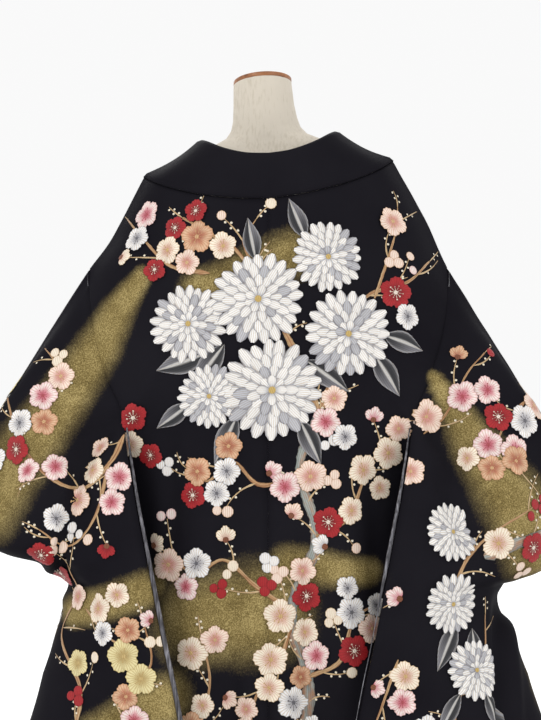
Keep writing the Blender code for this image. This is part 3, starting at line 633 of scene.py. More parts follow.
def collar_band(shapes, silk):
    """One double band round the neck and down both fronts."""
    neck = np.arange(RIDGE + row_at(NECK_ROWS), RIDGE - row_at(OVERLAP_ROW) - 1, -1)
    beside = np.concatenate([NECK_ROWS - BODY_PLACES[row_at(NECK_ROWS):0:-1],
                             NECK_ROWS + BODY_PLACES[:row_at(OVERLAP_ROW) + 1]])
    lower = np.arange(1, row_at(COLLAR_END - OVERLAP_ROW) + 1) / FINE
    places = np.concatenate([beside, beside[-1] + lower])
    edge = np.stack([smooth_read(OVERLAP_COLLAR_EDGE[c], lower) for c in "xyz"], -1)
    free = np.stack([smooth_read(COLLAR[c], places) for c in "xyz"], -1)
    belly = smooth_read(COLLAR["belly"], places)
    rows, rims = {}, {}
    for side in (1, -1):
        mirror = np.array((side, 1, 1))
        shape = shapes[side]
        outer = np.concatenate([shape["points"][neck, 0], edge])
        rim = shape["into"][neck, 0]
        other = lean(free * mirror) * mirror
        rows[side] = mirror * (outer[:, None] + (other - outer)[:, None] * BAND_SHARES[None, :, None])
        rims[side] = mirror * np.concatenate([rim, np.repeat(rim[-1:], len(edge), 0)])
    grid = np.concatenate([rows[-1][:0:-1], rows[1]])
    belly = np.concatenate([belly[:0:-1], belly])
    grid = grid - inward(grid) * (belly[:, None] * np.sin(math.pi * BAND_SHARES)[None])[..., None]
    into = inward(grid)
    into[:, 0] = np.concatenate([rims[-1][:0:-1], rims[1]])
    pull_in(grid, 0, SEAM)
    rounded = np.sqrt(np.clip(edge_fade(grid, True, True), 0.06, 1))
    thick = COLLAR_CLOTH * rounded + COLLAR_UNEVENNESS * ripple(grid, COLLAR_RIPPLE, 9)
    face = grid - into * thick[..., None]
    keep_face("collar", face, into, 1)
    piece = sheet_mesh("collar_silk", face, grid + into * LINING_LIFT, (silk, silk))
    put_in_frame(piece, "collar")


def overlap_panel(side, name, shape, silk, lining):
    """The narrow front panel between the body's front and the open middle."""
    last = row_at(COLLAR_END)
    steps = np.arange(row_at(OVERLAP_TOP), last + 1)
    rows = RIDGE - np.concatenate([steps, steps[-1:], np.arange(last + 1, RIDGE + 1)])
    seam, into_seam = shape["points"][rows, 0].copy(), shape["into"][rows, 0]
    jump = len(steps)
    seam[jump] -= (0, 0, POINT_DROP)
    collar = [smooth_read(OVERLAP_COLLAR_EDGE[c], steps / FINE - OVERLAP_ROW) for c in "xyz"]
    below = np.arange(0, RIDGE - last + 1) / FINE
    free = [smooth_read(OVERLAP_FREE_EDGE[c], below) for c in "xyz"]
    edge = np.concatenate([np.stack(collar, -1), np.stack(free, -1)])
    grid = edge[:, None] + (seam - edge)[:, None] * BAND_SHARES[None, :, None]
    into = -inward(grid)
    into[jump - 1:jump + 1] = into[jump + 2]
    into[:, -1] = into_seam
    grid, into = grid[::-1], into[::-1]
    pull_in(grid, 0, SEAM * 1.5)
    pull_in(grid, -1, SEAM)
    mirror = np.array((side, 1, 1))
    dips = edge_fade(grid, False, True)
    face = worked(grid * mirror, into * mirror, dips, dips, (("front", 1),), 11 + side) * mirror
    keep_face(name, face, into, side)
    piece = sheet_mesh(name + "_silk", face, face + into * CLOTH, (silk, lining), side)
    lay_gold(piece)
    put_in_frame(piece, name)
    return grid[0].copy()


def sleeve(side, name, shape, silk, lining):
    """One big hanging sleeve, and the path of the rolled lining along its open edge."""
    mirror = np.array((side, 1, 1))
    rings = np.stack([sleeve_ring(side, share) for share in SLEEVE_SHARES], 1)
    rings = lean(rings * mirror) * mirror
    into = inward(rings, closed=True)
    sewn = row_at(ARMPIT_ROW)
    into[:sewn + 1, 0] = shape["into"][RIDGE:RIDGE + sewn + 1, -1]
    into[-sewn:, 0] = shape["into"][RIDGE - sewn:RIDGE, -1]
    low = rings[:, -1, 2] < CUFF[2] - CUFF_OPENING
    back = np.arange(len(rings)) < len(rings) // 2
    into[low, -1] = np.where(back[low, None], (0, -1, 0), (0, 1, 0))
    into[len(SLEEVE_PLACES)] = (0, 0, 1)
    pull_in(rings, 0, SEAM)
    foot = len(SLEEVE_PLACES)
    is_back = 1 - smooth_step(np.arange(len(rings)), foot - 4, foot)[:, None]
    is_sewn = np.zeros((len(rings), 1))
    is_sewn[:sewn] = is_sewn[-sewn:] = 1
    dips = 1 - (1 - edge_fade(rings, True, False)) * is_sewn
    calm = edge_fade(rings, True, True)
    push_sets = (("sleeve back", is_back), ("sleeve front", 1 - is_back))
    face = worked(rings * mirror, into * mirror, calm, dips, push_sets, 21 + side) * mirror
    keep_face(name, face, into, side, closed=True)
    piece = sheet_mesh(name + "_silk", face, face + into * CLOTH, (silk, lining), side, closed=True)
    lay_gold(piece, is_sleeve=True)
    put_in_frame(piece, name)
    open_edge = slice(sewn + EDGE_MARGIN, foot - EDGE_MARGIN)
    away = rings[open_edge, 0] - rings[open_edge, 2]
    away /= np.linalg.norm(away, axis=1, keepdims=True)
    path = rings[open_edge, 0] + into[open_edge, 0] * CLOTH / 2
    return (path + away * (EDGE_RADIUS + SEAM)) * mirror


def hem_path(shapes, overlap_hems):
    """The hem roll's middle line, from the left front corner round the train to the right one."""
    sides = []
    for side in (1, -1):
        strip = shapes[side]["points"]
        front, back = strip[0], strip[-1][::-1]
        sides.append(np.concatenate([overlap_hems[side][:-1], front, back[1:]]) * (side, 1, 1))
    line = np.concatenate([sides[0], sides[1][-2::-1]])
    along = np.gradient(line, axis=0)
    away = np.stack([along[:, 1], -along[:, 0], along[:, 0] * 0], -1)
    away /= np.linalg.norm(away, axis=1, keepdims=True)
    line = line + away * (ROLL_RADIUS + SEAM * 2)
    line[:, 2] = ROLL_RADIUS + SEAM
    return line


def padded_roll(name, node, path, radius, finish, taper=((0, 1), (1, 1))):
    """A rolled edge: a curve with a round bevel, fuller and thinner along its length, made a mesh."""
    curve = bpy.data.curves.new(name, "CURVE")
    curve.dimensions = "3D"
    curve.bevel_depth = radius
    curve.bevel_resolution = 3
    curve.use_fill_caps = True
    line = curve.splines.new("POLY")
    line.points.add(len(path) - 1)
    fullness = np.interp(np.linspace(0, 1, len(path)), *taper)
    for point, place, full in zip(line.points, path, fullness):
        point.co = (*place, 1.0)
        point.radius = full
    made = bpy.data.objects.new(name, curve)
    bpy.context.scene.collection.objects.link(made)
    take(made)
    bpy.ops.object.convert(target="MESH")
    made = bpy.context.view_layer.objects.active
    made.data.materials.clear()
    made.data.materials.append(finish)
    made.data.shade_smooth()
    put_in_frame(made, node)


# ---- gold haze ----
# Bands of gold dust on the silk: from (x1, z1) to (x2, z2), half width at each end, strength. On
# the train z is the distance behind the middle.
GOLD_BANDS = tables("x1 z1 x2 z2 wide1 wide2 | strength", {
    "back": (
        (205, 1156, 245, 1100, 14, 25, 0.95), (245, 1100, 275, 1043, 25, 32, 0.95),
        (275, 1043, 336, 951, 32, 36, 0.95), (336, 951, 462, 783, 36, 52, 0.95),
        (110, 1130, -40, 1190, 30, 34, 0.9), (-100, 1045, -150, 1060, 18, 18, 0.7),
        (-269, 993, -336, 880, 10, 34, 0.95), (-336, 880, -445, 715, 34, 60, 0.95),
        (318, 612, 196, 656, 22, 26, 0.95), (300, 410, 165, 482, 26, 36, 0.95),
        (108, 602, 10, 614, 60, 70, 0.95), (-34, 690, -160, 678, 30, 20, 0.9),
        (100, 350, 0, 320, 45, 50, 0.85), (-60, 290, -300, 220, 45, 55, 0.85),
        (340, 290, 150, 230, 50, 50, 0.85), (-430, 350, -310, 300, 40, 40, 0.8),
    ),
    "train": (
        (-60, 560, -300, 500, 45, 45, 0.9), (80, 450, 300, 500, 45, 40, 0.85),
        (-330, 330, -440, 170, 40, 50, 0.8), (420, 330, 450, 140, 40, 50, 0.8),
        (160, -330, 300, -260, 30, 45, 0.8), (-160, -320, -320, -220, 30, 45, 0.8),
    ),
    "front": (
        (220, 1120, 460, 860, 40, 60, 0.9), (-230, 1080, -470, 820, 40, 60, 0.9),
        (290, 560, 150, 500, 50, 50, 0.9), (-290, 640, -140, 560, 50, 50, 0.9),
        (330, 250, 120, 180, 60, 50, 0.9), (-330, 330, -120, 240, 60, 50, 0.9),
        (440, 420, 330, 300, 40, 50, 0.8), (-450, 500, -340, 380, 40, 50, 0.8),
    ),
})


HAZE_FADE = (0.30, 1.70)       # a band fades out between these shares of its half width
BACK_FROM = (-0.04, 0.10)      # the body's front bands give way to the back's between these y
ON_FLOOR = (0.02, 0.12)        # and to the train's between these heights


def gold_haze(flat, bands):
    """How thick the gold dust lies at each place of a view, 0 to 1."""
    haze = np.zeros(len(flat))
    for x1, z1, x2, z2, wide1, wide2, strength in zip(*bands.values()):
        start, run = np.array((x1, z1)), np.array((x2 - x1, z2 - z1))
        along = np.clip((flat - start) @ run / (run @ run), 0, 1)
        off = np.linalg.norm(flat - start - along[:, None] * run, axis=1)
        reach = off / (wide1 + (wide2 - wide1) * along)
        haze = np.maximum(haze, strength * (1 - smooth_step(reach, *HAZE_FADE)))
    return haze


def lay_gold(piece, is_sleeve=False):
    """Stores the haze on a panel's points. A sleeve's layers are told apart by the way they face."""
    count = len(piece.data.vertices)
    points, facing = np.zeros(count * 3), np.zeros(count * 3)
    piece.data.vertices.foreach_get("co", points)
    piece.data.vertices.foreach_get("normal", facing)
    points, facing = points.reshape(-1, 3), facing.reshape(-1, 3)[:, 1]
    behind = smooth_step(facing, -0.5, 0.5) if is_sleeve else smooth_step(points[:, 1], *BACK_FROM)
    back, front = (gold_haze(points[:, [0, 2]], GOLD_BANDS[word]) for word in ("back", "front"))
    low = 1 - smooth_step(points[:, 2], *ON_FLOOR)
    haze = (back * behind + front * (1 - behind)) * (1 - low)
    haze += gold_haze(points[:, :2], GOLD_BANDS["train"]) * low
    layer = piece.data.attributes.new("haze", "FLOAT", "POINT")
    layer.data.foreach_set("value", haze)


# ---- finishes ----
class Nodes:
    """Short ways to add shader nodes to a material."""

    def __init__(self, name, roughness, sheen=0.0, specular=0.5):
        """A new material with one shader node."""
        self.material = bpy.data.materials.new(name)
        self.material.use_nodes = True
        self.tree = self.material.node_tree
        self.shader = self.tree.nodes["Principled BSDF"]
        self.set("Roughness", roughness)
        self.set("Sheen Weight", sheen)
        self.set("Specular IOR Level", specular)

    def set(self, socket, value):
        """Sets one of the shader's sockets."""
        self.shader.inputs[socket].default_value = value

    def add(self, kind, **settings):
        """A new node with these settings."""
        node = self.tree.nodes.new("ShaderNode" + kind)
        for key, value in settings.items():
            setattr(node, key, value)
        return node

    def join(self, out, into):
        self.tree.links.new(out, into)

    def coordinates(self, which="Object"):
        """The object's own coordinates, or those of a UV map."""
        if which == "Object":
            return self.add("TexCoord").outputs["Object"]
        return self.add("UVMap", uv_map=which).outputs["UV"]

    def noise(self, where, scale, detail=3.0, roughness=0.5):
        node = self.add("TexNoise")
        node.inputs["Scale"].default_value = scale
        node.inputs["Detail"].default_value = detail
        node.inputs["Roughness"].default_value = roughness
        self.join(where, node.inputs["Vector"])
        return node.outputs["Fac"]

    def wave(self, where, scale, direction="X", distortion=0.0):
        node = self.add("TexWave", bands_direction=direction)
        node.inputs["Scale"].default_value = scale
        node.inputs["Distortion"].default_value = distortion
        self.join(where, node.inputs["Vector"])
        return node.outputs["Fac"]

    def fill(self, socket, value):
        """Sets a socket to a number or a colour, or joins another node's output to it."""
        if isinstance(value, (int, float)):
            socket.default_value = value
        elif isinstance(value, tuple):
            socket.default_value = (*value, 1.0)
        else:
            self.join(value, socket)

    def sum(self, first, second, operation="ADD"):
        node = self.add("Math", operation=operation)
        self.fill(node.inputs[0], first)
        self.fill(node.inputs[1], second)
        return node.outputs[0]

    def times(self, first, second):
        return self.sum(first, second, "MULTIPLY")

    def less(self, first, second):
        return self.sum(first, second, "SUBTRACT")

    def stretched(self, where, *scale):
        """Coordinates with their own scale along each axis."""
        node = self.add("Mapping")
        node.inputs["Scale"].default_value = scale
        self.join(where, node.inputs["Vector"])
        return node.outputs[0]

    def ramp(self, factor, *stops):
        """A colour for each value of a factor, from stops of a place and a colour."""
        node = self.add("ValToRGB")
        marks = node.color_ramp.elements
        while len(marks) < len(stops):
            marks.new(0.5)
        for mark, (place, colour) in zip(marks, stops):
            mark.position = place
            mark.color = (*colour, 1.0)
        self.join(factor, node.inputs["Fac"])
        return node.outputs["Color"]

    def blend(self, factor, first, second, mode="MIX"):
        """Two colours mixed by a factor."""
        node = self.add("Mix", data_type="RGBA", blend_type=mode)
        for place, value in zip((0, 6, 7), (factor, first, second)):
            self.fill(node.inputs[place], value)
        return node.outputs[2]

    def colour(self, out):
        self.join(out, self.shader.inputs["Base Color"])

    def bump(self, height, distance, strength=1.0, before=None):
        """A normal bent by a height, on top of an earlier one if there is one."""
        node = self.add("Bump")
        node.inputs["Distance"].default_value = distance
        node.inputs["Strength"].default_value = strength
        self.join(height, node.inputs["Height"])
        if before is not None:
            self.join(before, node.inputs["Normal"])
        return node.outputs["Normal"]

    def normal(self, out):
        self.join(out, self.shader.inputs["Normal"])
        return self.material


def grey(value):
    return (value, value, value)


def black_silk():
    """Black crepe silk with gold dust blown on it in soft bands."""
    n = Nodes("black silk with gold", roughness=0.62, specular=0.006)
    place = n.coordinates()
    cut = n.coordinates("cut")
    haze = n.add("Attribute", attribute_name="haze").outputs["Fac"]
    clouds = n.noise(place, 18.0, 4.0, 0.6)
    dust = n.noise(place, 900.0, 2.0, 0.7)
    grains = n.noise(place, 330.0, 2.0, 0.6)
    thick = n.sum(haze, n.times(n.less(clouds, 0.5), 0.22))
    speckled = n.times(n.less(n.sum(dust, grains), 1.0), 0.28)
    cover = n.ramp(n.sum(thick, speckled), (0.08, grey(0.0)), (0.90, grey(1.0)))
    cover = n.blend(n.ramp(haze, (0.0, grey(0.0)), (0.10, grey(1.0))), grey(0.0), cover)
    black = n.ramp(n.noise(place, 7.0, 3.0), (0.3, (0.0096, 0.0088, 0.0118)),
                   (0.7, (0.0128, 0.0120, 0.0154)))
    sparkle = n.noise(place, 520.0, 1.0, 0.5)
    gold = n.ramp(n.sum(n.times(clouds, 0.6), sparkle), (0.54, (0.115, 0.083, 0.029)),
                  (0.80, (0.236, 0.176, 0.066)), (1.0, (0.42, 0.330, 0.140)))
    n.colour(n.blend(cover, black, gold))
    gloss = n.ramp(cover, (0.0, grey(0.62)), (1.0, grey(0.48)))
    n.join(gloss, n.shader.inputs["Roughness"])
    crepe = n.noise(cut, 1500.0, 2.0, 0.6)
    weave = n.sum(n.wave(cut, 260.0, "X"), n.wave(cut, 260.0, "Y"))
    first = n.bump(n.sum(crepe, n.times(weave, 0.25)), 0.00012, 0.55)
    return n.normal(n.bump(n.noise(place, 34.0, 3.0), 0.0012, 0.25, first))


def plain_silk():
    """Silver-grey lining silk with a fine twill and slow unevenness."""
    n = Nodes("silver lining", roughness=0.34, sheen=0.10, specular=0.45)
    place = n.coordinates()
    dark, light = (tuple(c * tone for c in (0.105, 0.103, 0.115)) for tone in (0.80, 1.18))
    n.colour(n.ramp(n.noise(place, 24.0, 4.0), (0.3, dark), (0.7, light)))
    twill = n.wave(place, 420.0, "DIAGONAL", 0.4)
    first = n.bump(twill, 0.00010, 0.4)
    return n.normal(n.bump(n.noise(place, 60.0, 3.0), 0.0008, 0.35, first))


def silk_thread():
    """Embroidery in coloured silk: satin stitches side by side, in each stitch's own colour."""
    n = Nodes("silk thread", roughness=0.50, sheen=0.06, specular=0.30)
    stitch = n.coordinates("stitch")
    colour = n.add("Attribute", attribute_name="thread").outputs["Color"]
    lines = n.wave(stitch, 96.0, "X", 1.6)
    strands = n.wave(stitch, 420.0, "X", 1.0)
    uneven = n.noise(stitch, 700.0, 3.0)
    shade = n.ramp(n.sum(lines, n.times(uneven, 0.7)), (0.22, (0.74, 0.58, 0.44)),
                   (0.62, (0.93, 0.90, 0.86)), (1.0, grey(1.03)))
    n.colour(n.blend(1.0, colour, shade, "MULTIPLY"))
    lines = n.sum(lines, strands)
    return n.normal(n.bump(n.sum(lines, n.times(uneven, 0.6)), 0.00025, 0.6))


def rolled_silk():
    """Lining silk drawn tight over a roll: near black, with painted sheen in long light streaks along
    it.
    """
    n = Nodes("rolled silk with painted sheen", roughness=0.36, specular=0.40)
    place = n.coordinates()
    sheen_streaks = n.noise(n.stretched(place, 330.0, 330.0, 9.0), 1.0, 3.0, 0.6)
    shade = n.sum(sheen_streaks, n.times(n.noise(place, 30.0, 3.0), 0.5))
    # Painted sheen: the light streaks stand in for the light that the satin roll catches along its
    # length.
    n.colour(n.ramp(shade, (0.55, (0.012, 0.011, 0.013)), (0.75, (0.075, 0.073, 0.084)),
                    (1.0, (0.30, 0.295, 0.325))))
    return n.normal(n.bump(sheen_streaks, 0.0006, 0.5))


def linen():
    """Natural linen stretched over the form."""
    n = Nodes("linen cover", roughness=0.88, sheen=0.12, specular=0.25)
    place = n.coordinates()
    across, up = n.wave(place, 420.0, "Z", 2.0), n.wave(place, 420.0, "X", 2.0)
    slub = n.noise(n.stretched(place, 260.0, 260.0, 60.0), 1.0, 3.0)
    tone = n.sum(n.sum(slub, n.noise(place, 9.0, 3.0)), n.times(n.sum(across, up), 0.10))
    n.colour(n.ramp(tone, (0.60, (0.595, 0.53, 0.43)), (1.0, (0.64, 0.575, 0.47)),
                    (1.0, (0.70, 0.635, 0.535))))
    first = n.bump(n.sum(across, up), 0.00030, 0.5)
    return n.normal(n.bump(slub, 0.0003, 0.3, first))


def turned_wood():
    """Oiled reddish-brown wood, with its grain across the cap."""
    n = Nodes("turned wood", roughness=0.38, specular=0.5)
    place = n.coordinates()
    grain = n.noise(n.stretched(place, 9.0, 90.0, 90.0), 1.6, 6.0, 0.6)
    n.colour(n.ramp(grain, (0.30, (0.155, 0.052, 0.016)), (0.55, (0.33, 0.125, 0.042)),
                    (0.75, (0.46, 0.20, 0.075))))
    return n.normal(n.bump(grain, 0.0003, 0.4))


def painted_steel():
    """White stove enamel on steel, a little scuffed."""
    n = Nodes("painted stand", roughness=0.35, specular=0.5)
    place = n.coordinates()
    n.colour(n.ramp(n.noise(place, 40.0, 5.0), (0.35, grey(0.70)), (0.70, grey(0.82))))
    return n.normal(n.bump(n.noise(place, 500.0, 2.0), 0.00005, 0.5))


def floor_paint():
    """Pale matt paint."""
    n = Nodes("pale floor", roughness=0.9, specular=0.1)
    n.colour(n.ramp(n.noise(n.coordinates(), 2.0), (0.3, grey(0.93)), (0.7, grey(0.95))))
    return n.material


# ---- embroidery ----
# Silk colours: the petal's rim, body, inner part and root, and the stamens.
SILKS = {
    "red": ((0.16, 0.006, 0.010), (0.37, 0.013, 0.018), (0.33, 0.011, 0.016),
            (0.18, 0.006, 0.010), (0.78, 0.70, 0.62)),
    "pink": ((0.40, 0.27, 0.25), (0.84, 0.74, 0.71), (0.78, 0.47, 0.49),
             (0.60, 0.15, 0.21), (0.40, 0.08, 0.10)),
    "blush": ((0.50, 0.33, 0.17), (0.85, 0.70, 0.60), (0.80, 0.58, 0.50),
              (0.66, 0.30, 0.27), (0.62, 0.42, 0.22)),
    "peach": ((0.44, 0.26, 0.12), (0.68, 0.45, 0.29), (0.58, 0.28, 0.16),
              (0.42, 0.13, 0.08), (0.60, 0.38, 0.20)),
    "white": ((0.26, 0.26, 0.28), (0.85, 0.84, 0.83), (0.74, 0.74, 0.75),
              (0.46, 0.46, 0.50), (0.14, 0.14, 0.16)),
    "yellow": ((0.48, 0.38, 0.15), (0.74, 0.66, 0.36), (0.71, 0.62, 0.32),
               (0.52, 0.40, 0.17), (0.56, 0.42, 0.18)),
    "cream": ((0.48, 0.34, 0.16), (0.87, 0.79, 0.65), (0.84, 0.69, 0.57),
              (0.70, 0.42, 0.34), (0.58, 0.40, 0.18)),
}
WOOD_SILKS = ((0.30, 0.140, 0.060), (0.46, 0.250, 0.120), (0.56, 0.390, 0.210), (0.38, 0.200, 0.095))
TRUNK_SILKS = ((0.25, 0.29, 0.28), (0.36, 0.39, 0.37), (0.42, 0.22, 0.12), (0.22, 0.25, 0.25))
FLOWER_WHITE = ((0.30, 0.30, 0.33), (0.87, 0.865, 0.85), (0.74, 0.745, 0.76), (0.27, 0.28, 0.32))
FLOWER_SILVER = ((0.20, 0.20, 0.23), (0.50, 0.51, 0.55), (0.40, 0.41, 0.45), (0.17, 0.17, 0.20))
FLOWER_HEART = (0.55, 0.40, 0.14)
CALYX = (0.20, 0.07, 0.035)
TWIG_SILKS = ((0.56, 0.390, 0.210), (0.72, 0.56, 0.34))
TWIG_BUD = (0.86, 0.80, 0.66)
LEAF_DARK = ((0.34, 0.34, 0.36), (0.022, 0.023, 0.028), (0.16, 0.16, 0.18), (0.66, 0.66, 0.65))
LIFT = 0.00045            # thread stands this far off the silk
ORDER = 0.00022           # and each later motif this much further
PUFF = 0.0005             # padding under satin stitch
PETAL_STEP = 0.00025      # every other petal lies this much higher
FAN_STEP = 0.0003         # and the middle petal of a half-open blossom this much
RING_STEP = 0.0006        # and each inner ring of a great flower this much
HEART_LIFT = 0.0026
LEAST_FACING = 0.28       # thread is laid only where the cloth faces the view this much
MOST_BRIDGED = 0.012      # a motif's points may not settle further apart in depth than this
MOST_STEP = 0.03          # and a branch ends where the cloth jumps further than this
PATH_STEP = 0.004         # spacing of the points along a branch
PETAL_SIDES = 20
PETAL_RINGS = np.repeat((0, 1, 2, 3), (PETAL_SIDES, PETAL_SIDES, PETAL_SIDES, 1))
PETAL_MIDDLE = 0.53
KNOT_SIDES = 10
KNOT_RINGS = np.repeat((0, 1, 2, 3), (KNOT_SIDES, KNOT_SIDES, KNOT_SIDES, 1))
# A great flower's rings: petals, reach and start as shares of its radius, share of silver petals.
FLOWER_RINGS = ((21, 1.0, 0.30, 0.10), (17, 0.76, 0.20, 0.16), (13, 0.53, 0.10, 0.24),
                (8, 0.30, 0.02, 0.10))
STEM_SPREAD = np.array((-1, -0.6, -0.2, 0.2, 0.6, 1))   # the lines of a branch, across its half width
STEM_LINES = len(STEM_SPREAD)
STEM_RIMS = np.abs(STEM_SPREAD) == 1


def modelled(build):
    """A motif's points and faces, modelled once by hand tools and taken off its object."""
    bpy.ops.object.select_all(action="DESELECT")
    build()
    made = bpy.context.object
    points = np.array([tuple(v.co) for v in made.data.vertices])
    faces = [tuple(f.vertices) for f in made.data.polygons]
    mesh = made.data
    bpy.data.objects.remove(made)
    bpy.data.meshes.remove(mesh)
    return points, faces


def round_knot():
    """A bud or a knot: a disc of radius 1 with a raised middle."""
    bpy.ops.mesh.primitive_circle_add(vertices=KNOT_SIDES, radius=1.0, fill_type="NGON")
    bpy.ops.object.mode_set(mode="EDIT")
    bpy.ops.mesh.select_mode(type="FACE")
    bpy.ops.mesh.select_all(action="SELECT")
    bpy.ops.mesh.inset(thickness=0.12, depth=0.4)
    bpy.ops.mesh.inset(thickness=0.38, depth=0.5)
    bpy.ops.mesh.poke(offset=0.1)
    bpy.ops.object.mode_set(mode="OBJECT")


def small_dot():
    """A seed stitch: a small disc with a pointed middle."""
    bpy.ops.mesh.primitive_circle_add(vertices=6, radius=1.0, fill_type="NGON")
    bpy.ops.object.mode_set(mode="EDIT")
    bpy.ops.mesh.select_all(action="SELECT")
    bpy.ops.mesh.poke(offset=0.8)
    bpy.ops.object.mode_set(mode="OBJECT")


def pick(mesh, wanted):
    """Selects just the wanted points, and goes into edit mode with them."""
    bpy.ops.object.mode_set(mode="EDIT")
    bpy.ops.mesh.select_mode(type="VERT")
    bpy.ops.mesh.select_all(action="DESELECT")
    bpy.ops.object.mode_set(mode="OBJECT")
    for vertex in mesh.vertices:
        vertex.select = wanted(vertex.co)
    bpy.ops.object.mode_set(mode="EDIT")


def round_petal():
    """A padded petal: root at the origin, tip at y 1, with its scalloped outline, body and crown."""
    bpy.ops.mesh.primitive_circle_add(vertices=PETAL_SIDES, radius=0.50, fill_type="NGON",
                                      location=(0, PETAL_MIDDLE, 0))
    bpy.ops.object.transform_apply(location=True)
    mesh = bpy.context.object.data
    every_other = [mesh.vertices[k].co for k in range(0, PETAL_SIDES, 2)]
    notches = {place.to_tuple(4) for place in every_other if place.y > 0.5}
    pick(mesh, lambda place: place.to_tuple(4) in notches)
    bpy.ops.transform.resize(value=(0.89, 0.89, 1), center_override=(0, PETAL_MIDDLE, 0))
    bpy.ops.mesh.select_mode(type="FACE")
    bpy.ops.mesh.select_all(action="SELECT")
    bpy.ops.mesh.inset(thickness=0.040, depth=0.35)
    bpy.ops.mesh.inset(thickness=0.17, depth=0.50)
    bpy.ops.mesh.poke(offset=0.1)
    bpy.ops.object.mode_set(mode="OBJECT")


def long_shape(across, along, profile):
    """A long petal or leaf of length 1, its rows scaled to a profile and its middle raised."""
    bpy.ops.mesh.primitive_grid_add(x_subdivisions=across, y_subdivisions=along, size=1.0,
                                    location=(0, 0.5, 0))
    bpy.ops.object.transform_apply(location=True)
    mesh = bpy.context.object.data
    for row in range(along + 1):
        height = row / along
        pick(mesh, lambda place: abs(place.y - height) < 0.25 / along)
        bpy.ops.transform.resize(value=(profile(height), 1, 1), center_override=(0, height, 0))
        bpy.ops.object.mode_set(mode="OBJECT")
    pick(mesh, lambda place: abs(place.x) < 0.002)
    bpy.ops.transform.translate(value=(0, 0, 1))
    bpy.ops.object.mode_set(mode="OBJECT")


def long_petal():
    """A great flower's petal: widest six tenths of the way up, with a round tip."""
    long_shape(4, 7, lambda h: ((0.34 + 0.66 * min(h / 0.6, 1))
                                * math.sqrt(1 - (max(h - 0.6, 0) / 0.42) ** 2)))


def leaf_shape():
    """A leaf, pointed at both ends."""
    long_shape(8, 8, lambda h: 0.03 + 0.97 * math.sin(math.pi * h ** 0.85) ** 1.1)


def half_widths(points):
    """The half width of a long shape at each point's height."""
    rows = np.round(points[:, 1], 3)
    widest = {row: np.abs(points[rows == row, 0]).max() for row in set(rows)}
    return np.maximum([widest[row] for row in rows], 1e-6)


class View:
    """A side that the garment is seen from: the axes its places are given on, and its directions."""

    def __init__(self, axes, toward, up=(0, 0, 1)):
        self.axes, self.toward, self.up = list(axes), np.array(toward), np.array(up)
        right = np.cross(self.up, self.toward)
        self.signs = np.array((right[axes[0]], self.up[axes[1]]))

    def turn(self, way):
        """A motif's turn along a direction given on the view's axes."""
        return math.atan2(*(np.asarray(way) * self.signs))

    def ahead(self, turn):
        """The direction on the view's axes that a motif's turn points in."""
        return np.array((math.sin(turn), math.cos(turn))) * self.signs


class Cloth:
    """The garment's outer faces, which thread is laid on."""

    def __init__(self):
        points, faces, outward = [], [], []
        for name, (grid, out, closed) in sorted(faces_out.items()):
            index = np.arange(grid.size // 3).reshape(grid.shape[:2])
            if closed:
                index = np.concatenate([index, index[:1]])
            first = sum(map(len, faces))
            faces.append(quads_of(index) + sum(map(len, points)))
            points.append(grid.reshape(-1, 3))
            outward.append(out.reshape(-1, 3))
            if name == "collar":
                self.collar = range(first, first + len(faces[-1]))
        faces = np.concatenate(faces)
        self.outward = np.concatenate(outward)[faces].mean(axis=1)
        self.tree = BVHTree.FromPolygons(np.concatenate(points).tolist(), faces.tolist())

    def under(self, across, along, view):
        """The cloth and its outward direction at a place of a view, if it faces that view."""
        start = view.toward * 2.0
        start[view.axes] = across, along
        place, _, face, _ = self.tree.ray_cast(Vector(start), -Vector(view.toward))
        if place is None or face in self.collar:
            return None, None
        out = self.facing(face)
        if out @ view.toward < LEAST_FACING:
            return None, None
        return np.array(place), out

    def facing(self, face):
        """The direction that a face of the cloth looks in."""
        out = self.outward[face]
        return out / np.linalg.norm(out)

    def settle(self, places, lifts):
        """Each place brought to the nearest cloth and lifted off it."""
        settled = np.empty_like(places)
        for k, place in enumerate(places):
            near, _, face, _ = self.tree.find_nearest(Vector(place))
            settled[k] = np.array(near) + self.facing(face) * lifts[k]
        return settled


class Threadwork:
    """Stitched motifs of one kind, gathered into one piece."""

    def __init__(self, name):
        self.name = name
        self.points, self.faces, self.colours, self.stitches = [], [], [], []
        self.count = 0

    def add(self, points, faces, colours, stitches):
        """Adds one motif, with a colour and a place along its stitches for each point."""
        self.points.append(points)
        self.colours.append(np.broadcast_to(colours, (len(points), 3)))
        self.stitches.append(stitches)
        self.faces += [tuple(k + self.count for k in face) for face in faces]
        self.count += len(points)

    def finish(self, finish):
        """Makes the gathered motifs one piece of the model."""
        mesh = bpy.data.meshes.new(self.name)
        mesh.from_pydata(np.concatenate(self.points).tolist(), [], self.faces)
        colours = np.concatenate(self.colours)
        layer = mesh.attributes.new("thread", "FLOAT_COLOR", "POINT")
        layer.data.foreach_set("color", np.c_[colours, np.ones(len(colours))].ravel())
        map_points(mesh, "stitch", np.concatenate(self.stitches))
        put_in_frame(linked(self.name, mesh, finish), None)


def on_cloth(sewn):
    """Lets a motif be given by its place on a view, and leaves it out where there is no cloth."""
    def placed(needle, work, x, z, view, *measures):
        where = needle.frame(x, z, view)
        if where is not None:
            sewn(needle, work, where, *measures)
    return placed


def layer_lift(layer):
    """How far off the cloth a motif of this layer lies."""
    return LIFT + layer * ORDER


def petal_colours(silk, deep, mixed):
    """A petal's colours at its points: its rings, then the root's colour where it is deep."""
    rim, body, inner, root = (np.array(c) for c in SILKS[silk][:4])
    colours = np.stack([rim, body, body * (1 - mixed) + inner * mixed, inner])[PETAL_RINGS]
    return colours * (1 - deep) + root * deep


